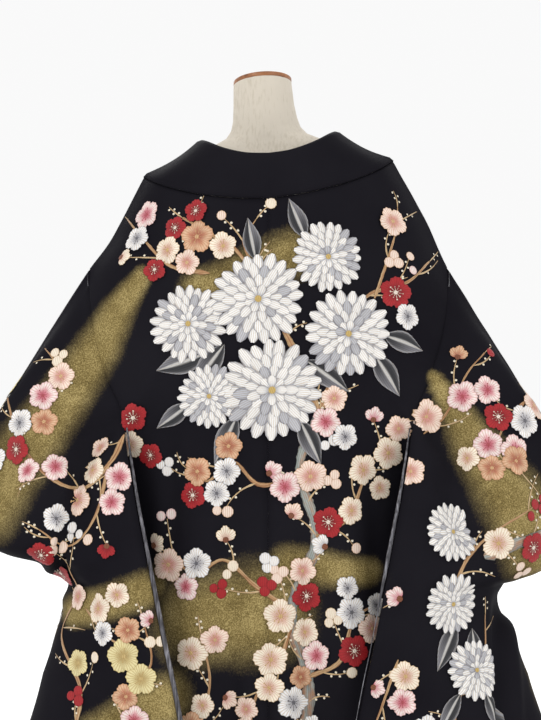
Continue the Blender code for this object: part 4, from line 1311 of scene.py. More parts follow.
class Needle:
    """Lays motifs on the cloth, each a little above the one before where they cross."""

    def __init__(self, cloth, rng):
        self.cloth, self.rng = cloth, rng
        shapes = {"petal": round_petal, "knot": round_knot, "dot": small_dot,
                  "long": long_petal, "leaf": leaf_shape}
        self.motifs = {name: modelled(build) for name, build in shapes.items()}

    def frame(self, x, z, view):
        """The cloth's place at x, z of a view and its directions: right as seen, up, and out."""
        place, out = self.cloth.under(x, z, view)
        if place is None:
            return None
        right = np.cross(view.up, out)
        right /= max(np.linalg.norm(right), 1e-9)
        return place, right, np.cross(out, right), out

    def lay(self, work, motif, where, turn, size, lift, colours, shift=(0, 0), radial=0.0):
        """One motif: scaled by size, shifted in its own plane, turned, and settled on the cloth."""
        points, faces = self.motifs[motif]
        place, right, up, _ = where
        spin = np.array(((math.cos(turn), math.sin(turn)), (-math.sin(turn), math.cos(turn))))
        flat = (points[:, :2] * size + shift) @ spin
        spots = place + flat[:, :1] * right + flat[:, 1:] * up
        laid = self.cloth.settle(spots, lift + points[:, 2] * PUFF)
        moved = laid - spots
        way = moved.mean(axis=0)
        if np.ptp(moved @ way) / max(np.linalg.norm(way), 1e-6) >= MOST_BRIDGED:
            return
        if radial:
            angle = np.arctan2(flat[:, 0], flat[:, 1])
            stitches = np.stack([angle * radial, np.linalg.norm(flat, axis=1)], -1)
        else:
            stitches = points[:, :2] * size
        work.add(laid, faces, colours, stitches)

    @on_cloth
    def blossom(self, work, where, radius, silk, turn, layer):
        """A plum blossom: five overlapping petals, a knot and its stamens."""
        reach = np.linalg.norm(self.motifs["petal"][0][:, :2], axis=1)
        colours = petal_colours(silk, smooth_step(0.66 - reach, 0.0, 0.5)[:, None], 0.6)
        stamen = SILKS[silk][4]
        for k in range(5):
            tone = 1 + 0.06 * self.rng.uniform(-1, 1)
            size = np.array((1.04, 0.99)) * radius * self.rng.uniform(0.96, 1.05)
            lift = layer_lift(layer) + (k % 2 + k // 4) * PETAL_STEP
            self.lay(work, "petal", where, turn + k * 2 * math.pi / 5, size, lift, colours * tone,
                     radial=0.6 * radius)
        top = layer_lift(layer) + PUFF
        self.lay(work, "knot", where, turn, radius * 0.13, top, stamen)
        for k in range(10):
            angle = turn + (k + 0.5) * 2 * math.pi / 10
            out = radius * (0.44 if k % 2 else 0.34)
            stalk = np.array((radius * 0.022, radius * 0.14))
            self.lay(work, "dot", where, angle, stalk, top, stamen, shift=(0, out * 0.62))
            self.lay(work, "dot", where, angle, radius * 0.052, top, stamen, shift=(0, out))

    @on_cloth
    def half_open(self, work, where, radius, silk, turn, layer):
        """A blossom seen from the side: three petals fanned out of a small calyx."""
        up = self.motifs["petal"][0][:, 1]
        colours = petal_colours(silk, smooth_step(0.55 - up, 0.0, 0.5)[:, None], 0.5)
        for k, (fan, length) in enumerate(((-0.80, 0.92), (0.80, 0.92), (0.0, 1.05))):
            size = np.array((0.80, length)) * radius
            self.lay(work, "petal", where, turn + fan, size, layer_lift(layer) + (k // 2) * FAN_STEP,
                     colours * self.rng.uniform(0.94, 1.04), radial=0.6 * radius)
        self.lay(work, "knot", where, turn, radius * 0.24, layer_lift(layer) + PUFF, CALYX)

    @on_cloth
    def bud(self, work, where, radius, silk, layer):
        """A round bud, darker at its rim."""
        rim, body, inner = (np.array(c) for c in SILKS[silk][:3])
        colours = np.stack([rim, body, inner * 0.5 + body * 0.5, body])[KNOT_RINGS]
        self.lay(work, "knot", where, 0.0, radius, layer_lift(layer), colours)

    @on_cloth
    def chrysanthemum(self, work, where, radius, turn, layer):
        """A large many-petalled flower in four rings of long padded petals."""
        points = self.motifs["long"][0]
        edge = smooth_step(np.abs(points[:, 0]) / half_widths(points), 0.60, 1.0)[:, None]
        deep = smooth_step(0.50 - points[:, 1], 0.0, 0.5)[:, None] * 0.85
        tipped = smooth_step(points[:, 1:2], 0.15, 0.75)
        toned = []
        for silks in (FLOWER_WHITE, FLOWER_SILVER):
            rim, body, inner, root = (np.array(c) for c in silks)
            colours = body * tipped + inner * (1 - tipped)
            colours = colours * (1 - edge) + rim * edge
            toned.append(colours * (1 - deep) + root * deep)
        for ring, (count, reach, start, silver) in enumerate(FLOWER_RINGS):
            for k in range(count):
                angle = turn + (k + 0.5 * (ring % 2)) * 2 * math.pi / count
                angle += self.rng.uniform(-0.04, 0.04)
                length = radius * (reach - start) * self.rng.uniform(0.93, 1.05)
                size = np.array((radius * reach * 5.9 / count, length))
                lift = layer_lift(layer) + ring * RING_STEP + (k % 2) * PETAL_STEP
                colours = toned[int(self.rng.uniform() < silver)] * self.rng.uniform(0.92, 1.02)
                self.lay(work, "long", where, angle, size, lift, colours, shift=(0, radius * start))
        self.lay(work, "knot", where, turn, radius * 0.075, layer_lift(layer) + HEART_LIFT, FLOWER_HEART)

    @on_cloth
    def leaf(self, work, where, length, wide, turn, layer):
        """A dark leaf with a pale rim and rib, one half of it feathered."""
        points = self.motifs["leaf"][0]
        rim, body, inner, rib = (np.array(c) for c in LEAF_DARK)
        across = np.abs(points[:, 0]) / half_widths(points)
        edge = smooth_step(across, 0.7, 1.0)[:, None]
        middle = smooth_step(0.2 - across, 0, 0.2)[:, None]
        feather = inner * smooth_step(points[:, 1:2], 0.1, 0.9) * (points[:, :1] > 0)
        colours = (body + feather) * (1 - edge) + rim * edge
        colours = colours * (1 - middle) + rib * middle
        self.lay(work, "leaf", where, turn, np.array((wide, length)), layer_lift(layer), colours)

    def stem(self, work, path, view, wide, narrow, silks, layer):
        """A couched branch along a path of x, z places, tapering, in mottled silks."""
        places, outs = [], []
        for x, z in path:
            place, out = self.cloth.under(x, z, view)
            if place is None or (places and np.linalg.norm(place - places[-1]) > MOST_STEP):
                break
            places.append(place)
            outs.append(out)
        if len(places) < 3:
            return
        places, outs = np.array(places), np.array(outs)
        along = np.gradient(places, axis=0)
        along /= np.linalg.norm(along, axis=1, keepdims=True)
        across = np.cross(outs, along)
        count = len(places)
        share = np.linspace(0, 1, count)
        knots = np.sin(share * count * 0.55 + self.rng.uniform(0, 6))
        knots = 1 + 0.16 * knots * self.rng.uniform(0.5, 1, count)
        half = (wide + (narrow - wide) * share) * knots * smooth_step(np.arange(count), -1.5, 3) / 2
        ragged = self.rng.uniform(0.84, 1.10, (count, STEM_LINES))
        spread = STEM_SPREAD * np.where(STEM_RIMS, ragged, 1)
        rise = layer_lift(layer) + PUFF * (1 - STEM_SPREAD ** 2)
        strip = [self.cloth.settle(places + across * (half * s)[:, None], np.full(count, up))
                 for s, up in zip(spread.T, rise)]
        points = np.stack(strip, 1).reshape(-1, 3)
        quads = quads_of(np.arange(count * STEM_LINES).reshape(count, STEM_LINES))[:, [0, 3, 2, 1]]
        silks = np.array(silks)
        last = len(silks) - 1
        start = self.rng.uniform(0, 2 * last, STEM_LINES)
        drift = start + np.cumsum(self.rng.uniform(-0.55, 0.55, (count, STEM_LINES)), axis=0)
        between = np.abs(drift % (2 * last) - last)
        low = np.clip(between.astype(int), 0, last - 1)
        tones = silks[low] + (silks[low + 1] - silks[low]) * (between - low)[..., None]
        # The rim lines are darker: painted shade along the edges of the raised branch.
        colours = (tones * np.where(STEM_RIMS, 0.55, 1.0)[:, None]).reshape(-1, 3)
        run = steps_along(np.linalg.norm(np.diff(places, axis=0), axis=1))
        stitches = np.stack([(half[:, None] * spread).ravel(), np.repeat(run, STEM_LINES)], -1)
        work.add(points, [tuple(q) for q in quads.tolist()], colours, stitches)


def smooth_path(corners, spacing=PATH_STEP):
    """A smooth line through corners, with points at an even spacing."""
    corners = np.asarray(corners, float)
    at = np.linspace(0, len(corners) - 1, max(int(len(corners) * 14), 8))
    first, last = 2 * corners[:1] - corners[1:2], 2 * corners[-1:] - corners[-2:-1]
    ends = np.concatenate([first, corners, last])
    k = np.clip(at.astype(int), 0, len(corners) - 2)
    t = (at - k)[:, None]
    p0, p1, p2, p3 = (ends[k + j] for j in range(4))
    line = 0.5 * (2 * p1 + (p2 - p0) * t + (2 * p0 - 5 * p1 + 4 * p2 - p3) * t ** 2
                  + (3 * p1 - p0 - 3 * p2 + p3) * t ** 3)
    run = steps_along(np.linalg.norm(np.diff(line, axis=0), axis=1))
    steps = np.linspace(0, run[-1], max(int(run[-1] / spacing), 4))
    return np.stack([np.interp(steps, run, line[:, i]) for i in range(2)], -1)


# ---- where the embroidery lies ----
# Branches on each side of the garment, as seen from there (the train from above): silks, width at
# the root and at the tip, corners, all in millimetres.
BRANCHES = {
    "back": (
        ("trunk", 26.2, 13.1, (-50, 379), (-64, 500), (-37, 618), (-77, 732), (-50, 846),
         (-81, 934)),
        ("trunk", 29.8, 26.2, (-85, 80), (-30, 220), (-50, 385)),
        ("wood", 9.6, 3.5, (-39, 618), (20, 658), (71, 699), (118, 678), (158, 705)),
        ("wood", 9.6, 3.5, (-76, 736), (-128, 769), (-161, 846), (-198, 897)),
        ("wood", 8.8, 3.5, (-55, 836), (13, 820), (57, 857), (97, 826), (131, 846)),
        ("wood", 8.8, 3.5, (-62, 510), (-114, 537), (-138, 605), (-181, 628)),
        ("wood", 7.9, 2.6, (-40, 605), (-17, 537), (20, 480), (30, 410)),
        ("wood", 13.1, 3.5, (-81, 934), (-44, 1031), (40, 1182), (94, 1223), (138, 1250)),
        ("wood", 11.4, 3.5, (-81, 934), (-124, 1038), (-155, 1119), (-225, 1146), (-265, 1182)),
        ("wood", 6.1, 2.1, (13, 1149), (40, 1210), (20, 1245)),
        ("wood", 7.9, 2.6, (94, 1159), (158, 1172), (205, 1219), (235, 1255)),
        ("wood", 6.1, 2.1, (-171, 1119), (-205, 1220), (-212, 1270)),
        ("wood", 9.6, 3.5, (232, 900), (252, 857), (299, 813), (356, 836), (403, 890),
         (427, 957)),
        ("wood", 7.9, 2.6, (255, 853), (276, 769), (319, 722), (366, 749)),
        ("wood", 9.6, 3.5, (326, 379), (299, 487), (336, 571), (309, 642), (323, 689)),
        ("wood", 7.9, 2.6, (239, 379), (222, 480), (185, 541), (198, 608)),
        ("wood", 6.1, 2.1, (356, 934), (346, 1008), (373, 1045)),
        ("wood", 6.1, 2.1, (292, 621), (242, 574), (208, 588)),
        ("wood", 6.1, 2.1, (-250, 900), (-286, 930), (-323, 998), (-353, 1031)),
        ("trunk", 22.7, 15.8, (-345, 705), (-400, 728), (-450, 740)),
        ("wood", 7.9, 2.6, (-298, 664), (-318, 704), (-366, 749), (-420, 780)),
        ("wood", 7.9, 2.6, (-286, 379), (-302, 480), (-343, 537), (-350, 608)),
        ("wood", 6.1, 2.1, (-420, 954), (-383, 917), (-360, 863)),
        ("wood", 6.1, 2.1, (-205, 547), (-175, 463), (-151, 410)),
        ("wood", 7.9, 2.6, (118, 410), (94, 500), (108, 581)),
        ("wood", 10.5, 3.5, (-55, 280), (-140, 330), (-220, 290), (-290, 330)),
        ("wood", 10.5, 3.5, (-45, 200), (50, 250), (110, 210), (180, 260)),
        ("wood", 8.8, 3.5, (420, 160), (350, 220), (290, 290), (326, 379)),
        ("wood", 8.8, 3.5, (-420, 150), (-350, 220), (-300, 300), (-286, 379)),
        ("wood", 7.9, 2.6, (90, 70), (150, 130), (240, 110), (300, 160)),
        ("wood", 7.9, 2.6, (-130, 60), (-200, 130), (-260, 170), (-330, 100)),
    ),
    "train": (
        ("trunk", 26, 16, (30, 590), (-10, 520), (40, 440), (10, 380)),
        ("wood", 10.5, 3.5, (-5, 530), (-80, 500), (-150, 530), (-230, 480), (-300, 500)),
        ("wood", 10.5, 3.5, (30, 470), (110, 500), (180, 450), (260, 480), (330, 430)),
        ("wood", 8.8, 3.5, (-120, 420), (-200, 390), (-280, 410), (-350, 370)),
        ("wood", 8.8, 3.5, (120, 400), (210, 370), (300, 360), (390, 310)),
        ("wood", 8.8, 3.5, (350, 200), (410, 150), (430, 90)),
        ("wood", 8.8, 3.5, (-340, 230), (-400, 180), (-430, 110)),
    ),
    "left": (
        ("wood", 9.6, 3.5, (40, 90), (10, 200), (50, 320), (20, 440), (50, 560)),
        ("wood", 8.8, 3.5, (-120, 100), (-100, 220), (-130, 340), (-100, 460)),
    ),
    "right": (
        ("wood", 9.6, 3.5, (30, 80), (60, 180), (20, 300), (50, 420), (20, 540)),
        ("wood", 8.8, 3.5, (-110, 90), (-130, 200), (-100, 330), (-120, 440)),
    ),
    "front": (
        ("wood", 10.5, 3.5, (150, 100), (125, 240), (165, 380), (130, 520), (160, 620)),
        ("wood", 10.5, 3.5, (-160, 120), (-130, 260), (-170, 400), (-135, 530)),
        ("wood", 8.8, 3.5, (300, 120), (262, 260), (240, 400), (225, 560)),
        ("wood", 8.8, 3.5, (-290, 140), (-255, 280), (-240, 440), (-222, 600)),
        ("wood", 7.9, 3.5, (216, 700), (226, 820), (205, 940), (218, 1040)),
        ("wood", 7.9, 3.5, (-216, 720), (-228, 840), (-205, 960), (-222, 1060)),
        ("wood", 9.6, 3.5, (300, 900), (350, 860), (400, 900), (445, 880)),
        ("wood", 9.6, 3.5, (-310, 920), (-355, 850), (-410, 880), (-450, 820)),
        ("wood", 7.9, 3.5, (400, 180), (380, 300), (350, 420), (340, 540)),
        ("wood", 7.9, 3.5, (-430, 180), (-400, 300), (-385, 430), (-350, 560)),
        ("wood", 6.1, 2.6, (350, 960), (345, 1020), (320, 1060)),
        ("wood", 6.1, 2.6, (-360, 760), (-330, 700), (-345, 650)),
    ),
}
# The great white flowers and the dark leaves round them, on each side's own axes.
GREAT_FLOWERS = tables("x z radius | turn layer", {
    "back": (
        (128, 1078, 62, 0.3, 9), (16, 1118, 74, 0, 12), (-96, 1186, 58, 0.5, 10),
        (-128, 1062, 70, 0.2, 13), (-6, 972, 80, 0.4, 14), (94, 962, 52, 0.1, 11),
        (-292, 632, 50, 0.4, 12), (-292, 745, 48, 0.1, 11), (-330, 525, 48, 0.3, 13),
        (70, 320, 70, 0.2, 12), (-200, 220, 66, 0.6, 12), (230, 190, 60, 0.3, 12),
    ),
    "train": (
        (-95, 520, 50, 0.2, 9), (-40, 455, 42, 0.5, 11), (175, 500, 46, 0.3, 10),
        (-300, 420, 42, 0.1, 9), (330, 330, 42, 0.4, 9),
    ),
    "left": (
        (-45, 205, 52, 0.1, 12),
    ),
    "right": (
        (-40, 330, 50, 0.4, 12),
    ),
    "front": (
        (158, 470, 50, 0.2, 12), (-165, 330, 56, 0.5, 12), (390, 780, 56, 0.3, 12),
        (-385, 660, 46, 0.4, 12), (-240, 560, 36, 0.2, 12),
    ),
})
LEAVES = tables("x z length width | turn layer", {
    "back": (
        (100, 1030, 85, 40, 1.9, 6), (70, 1045, 90, 36, 2.5, 7), (-60, 1020, 85, 36, -2.2, 6),
        (-170, 1030, 80, 36, -2.6, 7), (-185, 1060, 75, 34, -1.9, 6), (50, 930, 85, 36, 2.7, 7),
        (-50, 925, 80, 34, -2.7, 8), (150, 1120, 80, 34, 1, 6), (-60, 1215, 70, 30, 0.4, 7),
        (-140, 1205, 75, 30, -0.9, 8), (20, 1180, 70, 30, 0.2, 6), (125, 950, 70, 30, 2.2, 8),
        (-300, 600, 85, 36, 2.6, 6), (-325, 590, 90, 36, 3.1, 7), (-345, 600, 85, 34, -2.6, 8),
        (-270, 690, 70, 30, 1.7, 7), (-305, 490, 75, 30, 2.5, 8), (-345, 490, 75, 30, -2.7, 8),
        (30, 280, 85, 36, 2.4, 7), (115, 280, 85, 36, -2.4, 7), (-160, 180, 80, 34, 2, 7),
        (-240, 180, 80, 34, -2.2, 8), (190, 150, 75, 32, 2.2, 7), (265, 150, 70, 32, -2, 8),
    ),
    "train": (
        (-110, 555, 60, 28, 2.8, 6), (-60, 550, 60, 28, -2.8, 7), (210, 530, 60, 28, -2.2, 6),
        (150, 535, 60, 26, 2.9, 7), (-320, 455, 55, 26, 2.4, 6), (350, 365, 55, 26, -2.6, 6),
    ),
    "left": (
        (-75, 165, 65, 28, -2.6, 7), (-15, 165, 65, 28, 2.6, 8),
    ),
    "right": (
        (-70, 290, 65, 28, 2.6, 7), (-10, 290, 65, 28, -2.6, 8),
    ),
    "front": (
        (130, 430, 70, 30, 2.5, 7), (180, 430, 70, 30, -2.6, 8), (-190, 290, 70, 30, 2.6, 7),
        (-140, 290, 70, 30, -2.4, 8), (360, 740, 75, 32, 2.3, 7), (420, 740, 70, 32, -2.4, 8),
        (-360, 620, 65, 28, -2.5, 7), (-405, 625, 65, 28, 2.5, 8),
    ),
})
# Blossom colours in turn, and those used low down at the left.
MIX = ("blush", "red", "pink", "cream", "white", "blush", "pink", "peach", "cream", "red", "blush",
       "cream", "white")
LOWER_MIX = ("yellow", "red", "peach", "white", "blush", "yellow", "peach", "pink", "red", "cream")
LOWER_FROM, LOWER_BELOW = 0.17, 0.62
BUD_MIX = ("blush", "cream", "pink", "white", "red")
VIEWS = {
    "back": View((0, 2), (0, 1, 0)),
    "front": View((0, 2), (0, -1, 0)),
    "train": View((0, 1), (0, 0, 1), up=(0, -1, 0)),
    "left": View((1, 2), (1, 0, 0)),
    "right": View((1, 2), (-1, 0, 0)),
}
LAYER_STEP = 0.045   # two places further apart than this in depth lie on different layers of cloth
BUD_APART = 0.0085   # a bud's distance from the middle of its cluster
CLUSTER_ROOM, CLUSTER_SIZE = 0.010, 0.013
# Least and greatest radius of each kind of flower, length of a twig and space between twigs.
BLOSSOM_SIZES, SMALL_SIZES = (0.0225, 0.0290), (0.0190, 0.0260)
HALF_OPEN_SIZES, BUD_SIZES = (0.018, 0.023), (0.0078, 0.0100)
TWIG_LENGTHS, TWIG_SPACES, LAST_TWIG = (0.034, 0.066), (0.040, 0.068), 0.030
TWIG_WIDTHS, TWIG_STEP, TWIG_END = (0.0034, 0.0010), 0.003, 0.006
TWIG_BUD_SIZE, TWIG_BUD_LIFT, TWIG_BUD_ASIDE = 0.0021, 0.0009, 0.0032


class Garden:
    """Grows blossoms, buds and twigs along the branches of one side of the garment."""

    def __init__(self, needle, view, works):
        self.needle, self.rng, self.view, self.works = needle, needle.rng, view, works
        self.taken = []      # place and radius of all that is laid so far
        self.turn = 0        # how many blossoms have had a colour
        self.depth = None    # how far forward the branch lies where things grow on it

    def depth_at(self, x, z):
        """How far forward the cloth lies at x, z, or None where there is none."""
        place, _ = self.needle.cloth.under(x, z, self.view)
        return None if place is None else place @ self.view.toward

    def on_branch_cloth(self, x, z):
        """Whether x, z is on the branch's own layer of cloth, not on one behind or before it."""
        depth = self.depth_at(x, z)
        return depth is not None and self.depth is not None and abs(depth - self.depth) < LAYER_STEP

    def free(self, x, z, radius, share=0.76):
        """Whether a motif at x, z keeps clear of those laid before, with a little overlap."""
        return all(math.hypot(x - a, z - b) > (radius + c) * share for a, b, c in self.taken)

    def silk(self, x, z):
        """The next blossom's colour."""
        mix = LOWER_MIX if x > LOWER_FROM and z < LOWER_BELOW else MIX
        self.turn += 1
        return mix[(self.turn + int(self.rng.integers(0, 3))) % len(mix)]

    def blossom(self, x, z, radius):
        """Lays a blossom if there is room for it, and says whether there was."""
        if not self.free(x, z, radius) or not self.on_branch_cloth(x, z):
            return False
        self.needle.blossom(self.works["blossoms"], x, z, self.view, radius, self.silk(x, z),
                            self.rng.uniform(0, 1.2), 5 + 4 * (len(self.taken) % 3))
        self.taken.append((x, z, radius))
        return True

    def half_open(self, x, z, radius, angle):
        """Lays a half-open blossom that points along an angle, if there is room for it."""
        if self.free(x, z, radius * 0.8) and self.on_branch_cloth(x, z):
            self.needle.half_open(self.works["blossoms"], x, z, self.view, radius, self.silk(x, z),
                                  self.view.turn((math.sin(angle), math.cos(angle))), 8)
            self.taken.append((x, z, radius * 0.9))

    def bud_cluster(self, x, z, count):
        """Buds of one colour set close together."""
        silk = BUD_MIX[int(self.rng.integers(0, len(BUD_MIX)))]
        around = self.rng.uniform(0, 2 * math.pi)
        if not self.free(x, z, CLUSTER_ROOM, 0.95) or not self.on_branch_cloth(x, z):
            return
        for k in range(count):
            aside = np.array((math.sin(around), math.cos(around))) * (BUD_APART if count > 1 else 0)
            self.needle.bud(self.works["buds"], x + aside[0], z + aside[1], self.view,
                            self.rng.uniform(*BUD_SIZES), silk, 5 + k)
            around += 2 * math.pi / count
        self.taken.append((x, z, CLUSTER_SIZE))

    def twig(self, x, z, angle, length):
        """A thin curved twig with small white buds beside it."""
        bend = self.rng.uniform(-0.5, 0.5)
        steps = np.linspace(0, 1, 4)[:, None]
        way = np.stack([np.sin(angle + bend * steps[:, 0]), np.cos(angle + bend * steps[:, 0])], -1)
        path = smooth_path(np.array((x, z)) + way * steps * length, TWIG_STEP)
        self.needle.stem(self.works["twigs"], path, self.view, *TWIG_WIDTHS, TWIG_SILKS, 2)
        for k, share in enumerate((0.42, 0.60, 0.76, 0.92)):
            spot = path[int(share * (len(path) - 1))]
            beside = way[2][::-1] * (1, -1) * TWIG_BUD_ASIDE * (1 if k % 2 else -1)
            where = self.needle.frame(*(spot + beside), self.view)
            if where is not None and self.on_branch_cloth(*spot):
                self.needle.lay(self.works["buds"], "dot", where, 0, TWIG_BUD_SIZE,
                                LIFT + TWIG_BUD_LIFT, TWIG_BUD)
        chance = self.rng.uniform()
        if chance < 0.40:
            self.bud_cluster(*(path[-1] + way[3] * TWIG_END), 1 + int(chance * 7.5))
        elif chance < 0.58:
            self.half_open(*path[-1], self.rng.uniform(*HALF_OPEN_SIZES), angle)

    def branch(self, kind, wide, narrow, corners, number):
        """A branch, with blossoms or buds and a twig at uneven steps, on one hand and the other."""
        path = smooth_path(corners)
        silks = TRUNK_SILKS if kind == "trunk" else WOOD_SILKS
        self.needle.stem(self.works["branches"], path, self.view, wide, narrow, silks, 1 + number % 4)
        run = 0.012 + self.rng.uniform(0, 0.02)
        hand = 1
        while run < len(path) * PATH_STEP:
            k = min(int(run / PATH_STEP), len(path) - 2)
            self.depth = self.depth_at(*path[k])
            ahead = path[k + 1] - path[k]
            angle = math.atan2(*ahead)
            across = np.array((ahead[1], -ahead[0])) / max(np.linalg.norm(ahead), 1e-9) * hand
            radius = self.rng.uniform(*BLOSSOM_SIZES)
            spot = path[k] + across * self.rng.uniform(0.2, 0.9) * radius
            if self.blossom(*spot, radius):
                around = self.rng.uniform(0, 2 * math.pi)
                for _ in range(int(self.rng.integers(1, 4))):
                    small = self.rng.uniform(*SMALL_SIZES)
                    aside = np.array((math.sin(around), math.cos(around))) * (radius + small) * 0.86
                    self.blossom(*(spot + aside), small)
                    around += self.rng.uniform(1.4, 2.6)
            else:
                self.bud_cluster(*(path[k] + across * CLUSTER_ROOM), int(self.rng.integers(1, 4)))
            turned = angle + hand * self.rng.uniform(-1.0, -0.5)
            self.twig(*path[k], turned, self.rng.uniform(*TWIG_LENGTHS))
            run += self.rng.uniform(*TWIG_SPACES)
            hand = -hand
        self.depth = self.depth_at(*path[-1])
        self.twig(*path[-1], math.atan2(*(path[-1] - path[-2])), LAST_TWIG)


def embroider():
    """All the needlework: great flowers and leaves, then branches with their blossoms."""
    needle = Needle(Cloth(), np.random.default_rng(12))
    thread = silk_thread()
    kinds = ("great_flowers", "leaves", "branches", "twigs", "blossoms", "buds")
    for word, view in VIEWS.items():
        works = {kind: Threadwork("embroidered_%s_%s" % (kind, word)) for kind in kinds}
        garden = Garden(needle, view, works)
        for x, z, length, wide, turn, layer in zip(*LEAVES[word].values()):
            needle.leaf(works["leaves"], x, z, view, length, wide, turn, layer)
            for share in (0.35, 0.70):
                spot = np.array((x, z)) + view.ahead(turn) * length * share
                garden.taken.append((*spot, wide * 0.5))
        for x, z, radius, turn, layer in zip(*GREAT_FLOWERS[word].values()):
            needle.chrysanthemum(works["great_flowers"], x, z, view, radius, turn, layer)
            garden.taken.append((x, z, radius * 1.22))
        for number, (kind, wide, narrow, *corners) in enumerate(BRANCHES[word]):
            garden.branch(kind, wide / 1000, narrow / 1000, np.array(corners) / 1000, number)
        for work in works.values():
            if work.count:
                work.finish(thread)


# ---- the form and its stand ----
SMOOTH_BELOW = math.radians(35)   # faces that meet at less than this shade as one surface
ROUND_ABOVE = math.radians(50)    # edges sharper than this get a round
FOOT_ROUND = 0.004                # the torso's foot is drawn in this far
FOOT_RISE = 0.0012
SEAM_TURNS = (0, 55, 90, 125, 180, 235, 270, 305, 360)   # the linen's seams round the torso, degrees
GROOVE_REACH = 3                  # degrees either side of a seam
GROOVE_DEPTH = 0.0012
GROOVE_FOOT = FORM_FOOT + 0.002   # the grooves run from this height up
CAP_STEPS = ((0.009, 0.0), (0.014, 0.0016), (0.012, 0.0004))   # width and rise of the cap's rings
CAP_ROUND, BASE_ROUND = 0.0016, 0.004


def finished(made, finish, node):
    """Gives a piece its finish, its smooth shading and its place in the frame."""
    take(made)
    bpy.ops.object.transform_apply(location=True, rotation=True, scale=True)
    made.data.materials.clear()
    made.data.materials.append(finish)
    bpy.ops.object.shade_smooth_by_angle(angle=SMOOTH_BELOW)
    put_in_frame(made, node)


def torso(finish):
    """The torso: a circle drawn up ring by ring, capped, and sewn along its princess seams."""
    rings = list(zip(*FORM.values()))
    z0, a0, b0, x0, y0 = rings[0]
    foot = (z0, a0 - FOOT_ROUND, b0 - FOOT_ROUND, x0, y0)
    bpy.ops.object.select_all(action="DESELECT")
    bpy.ops.mesh.primitive_circle_add(vertices=FORM_SIDES * 2, radius=1.0, fill_type="NGON")
    made = bpy.context.object
    made.name = "form_torso_linen"
    bpy.ops.object.mode_set(mode="EDIT")
    bpy.ops.mesh.select_all(action="SELECT")
    bpy.ops.transform.resize(value=(foot[1], foot[2], 1.0), center_override=(0, 0, 0))
    bpy.ops.transform.translate(value=(x0, y0, z0))
    steps = [foot, (z0 + FOOT_RISE, a0, b0, x0, y0)]
    for low, high in zip(rings[:-1], rings[1:]):
        steps += [[p + (q - p) * share for p, q in zip(low, high)] for share in (1 / 3, 2 / 3, 1.0)]
    for (z_low, a_low, b_low, x_low, y_low), (z, a, b, x, y) in zip(steps[:-1], steps[1:]):
        move = {"value": (x - x_low, y - y_low, z - z_low)}
        bpy.ops.mesh.extrude_region_move(TRANSFORM_OT_translate=move)
        bpy.ops.transform.resize(value=(a / a_low, b / b_low, 1.0), center_override=(x, y, z))
    bpy.ops.object.mode_set(mode="OBJECT")
    lean_mesh(made)
    seam_grooves(made)
    finished(made, finish, "form_torso")


def lean_mesh(made):
    """Slopes the neck's top and leans a piece with the garment's shoulders."""
    places = np.zeros(len(made.data.vertices) * 3)
    made.data.vertices.foreach_get("co", places)
    made.data.vertices.foreach_set("co", lean(tip(places.reshape(-1, 3))).ravel())
    made.data.update()


def seam_grooves(made):
    """Presses the sewn seams into the linen: centre back and front, two princess seams a side."""
    for vertex in made.data.vertices:
        turn = math.degrees(math.atan2(vertex.co.y, vertex.co.x)) % 360
        near = min(abs(turn - seam) for seam in SEAM_TURNS)
        if near < GROOVE_REACH and vertex.co.z > GROOVE_FOOT:
            vertex.co -= Vector((vertex.co.x, vertex.co.y, 0)).normalized() * GROOVE_DEPTH
    made.data.update()


def turned(name, radius, low, high, sides, centre=0):
    """An upright cylinder between two heights, as it comes off the lathe."""
    bpy.ops.object.select_all(action="DESELECT")
    bpy.ops.mesh.primitive_cylinder_add(vertices=sides, radius=radius, depth=high - low,
                                        location=(centre, 0, (low + high) / 2))
    made = bpy.context.object
    made.name = name
    return made


def round_edges(made, width):
    """Rounds a piece's sharp edges."""
    edge = made.modifiers.new("edge", "BEVEL")
    edge.width = width
    edge.segments = 4
    edge.limit_method = "ANGLE"
    edge.angle_limit = ROUND_ABOVE
    bpy.ops.object.modifier_apply(modifier="edge")


def neck_cap(finish):
    """The turned cap: a disc with a rounded rim and a shallow dome."""
    low = NECK_TOP + SEAM
    made = turned("neck_cap_wood", CAP_RADIUS, low, low + CAP_THICK, 96, NECK_MIDDLE)
    bpy.ops.object.transform_apply(location=True, rotation=True, scale=True)
    bpy.ops.object.mode_set(mode="EDIT")
    bpy.ops.mesh.select_mode(type="FACE")
    bpy.ops.mesh.select_all(action="DESELECT")
    bpy.ops.object.mode_set(mode="OBJECT")
    for face in made.data.polygons:
        face.select = face.normal.z > 0.9
    bpy.ops.object.mode_set(mode="EDIT")
    for width, rise in CAP_STEPS:
        bpy.ops.mesh.inset(thickness=width, depth=rise)
    bpy.ops.object.mode_set(mode="OBJECT")
    round_edges(made, CAP_ROUND)
    lean_mesh(made)
    finished(made, finish, "neck_cap")


def stand(finish):
    """The steel post and its round foot."""
    post = turned("stand_post_steel", POST_RADIUS, BASE_THICK + SEAM, FORM_FOOT - SEAM, 48)
    finished(post, finish, "stand_post")
    base = turned("stand_base_steel", BASE_RADIUS, 0, BASE_THICK, 128)
    round_edges(base, BASE_ROUND)
    finished(base, finish, "stand_base")


# ---- the room ----
# Soft boxes: name, place, what each is turned to, size and watts.
LAMPS = (
    ("key", (1.9, 3.0, 2.6), (0, 0, 0.9), (1.6, 1.6), 26),
    ("fill", (-2.4, 2.6, 1.8), (0, 0, 0.9), (1.8, 1.8), 12),
    ("front", (0.6, -3.2, 2.4), (0, 0, 0.9), (1.8, 1.8), 22),
    ("floor light", (0, -5.5, 3.5), (0, -5.5, 0), (8.0, 6.0), 160),
)
CAMERA_PLACE = (-0.0035, 3.6, 1.02)
LENS_LENGTH, FILM_WIDTH = 106.2, 36.0


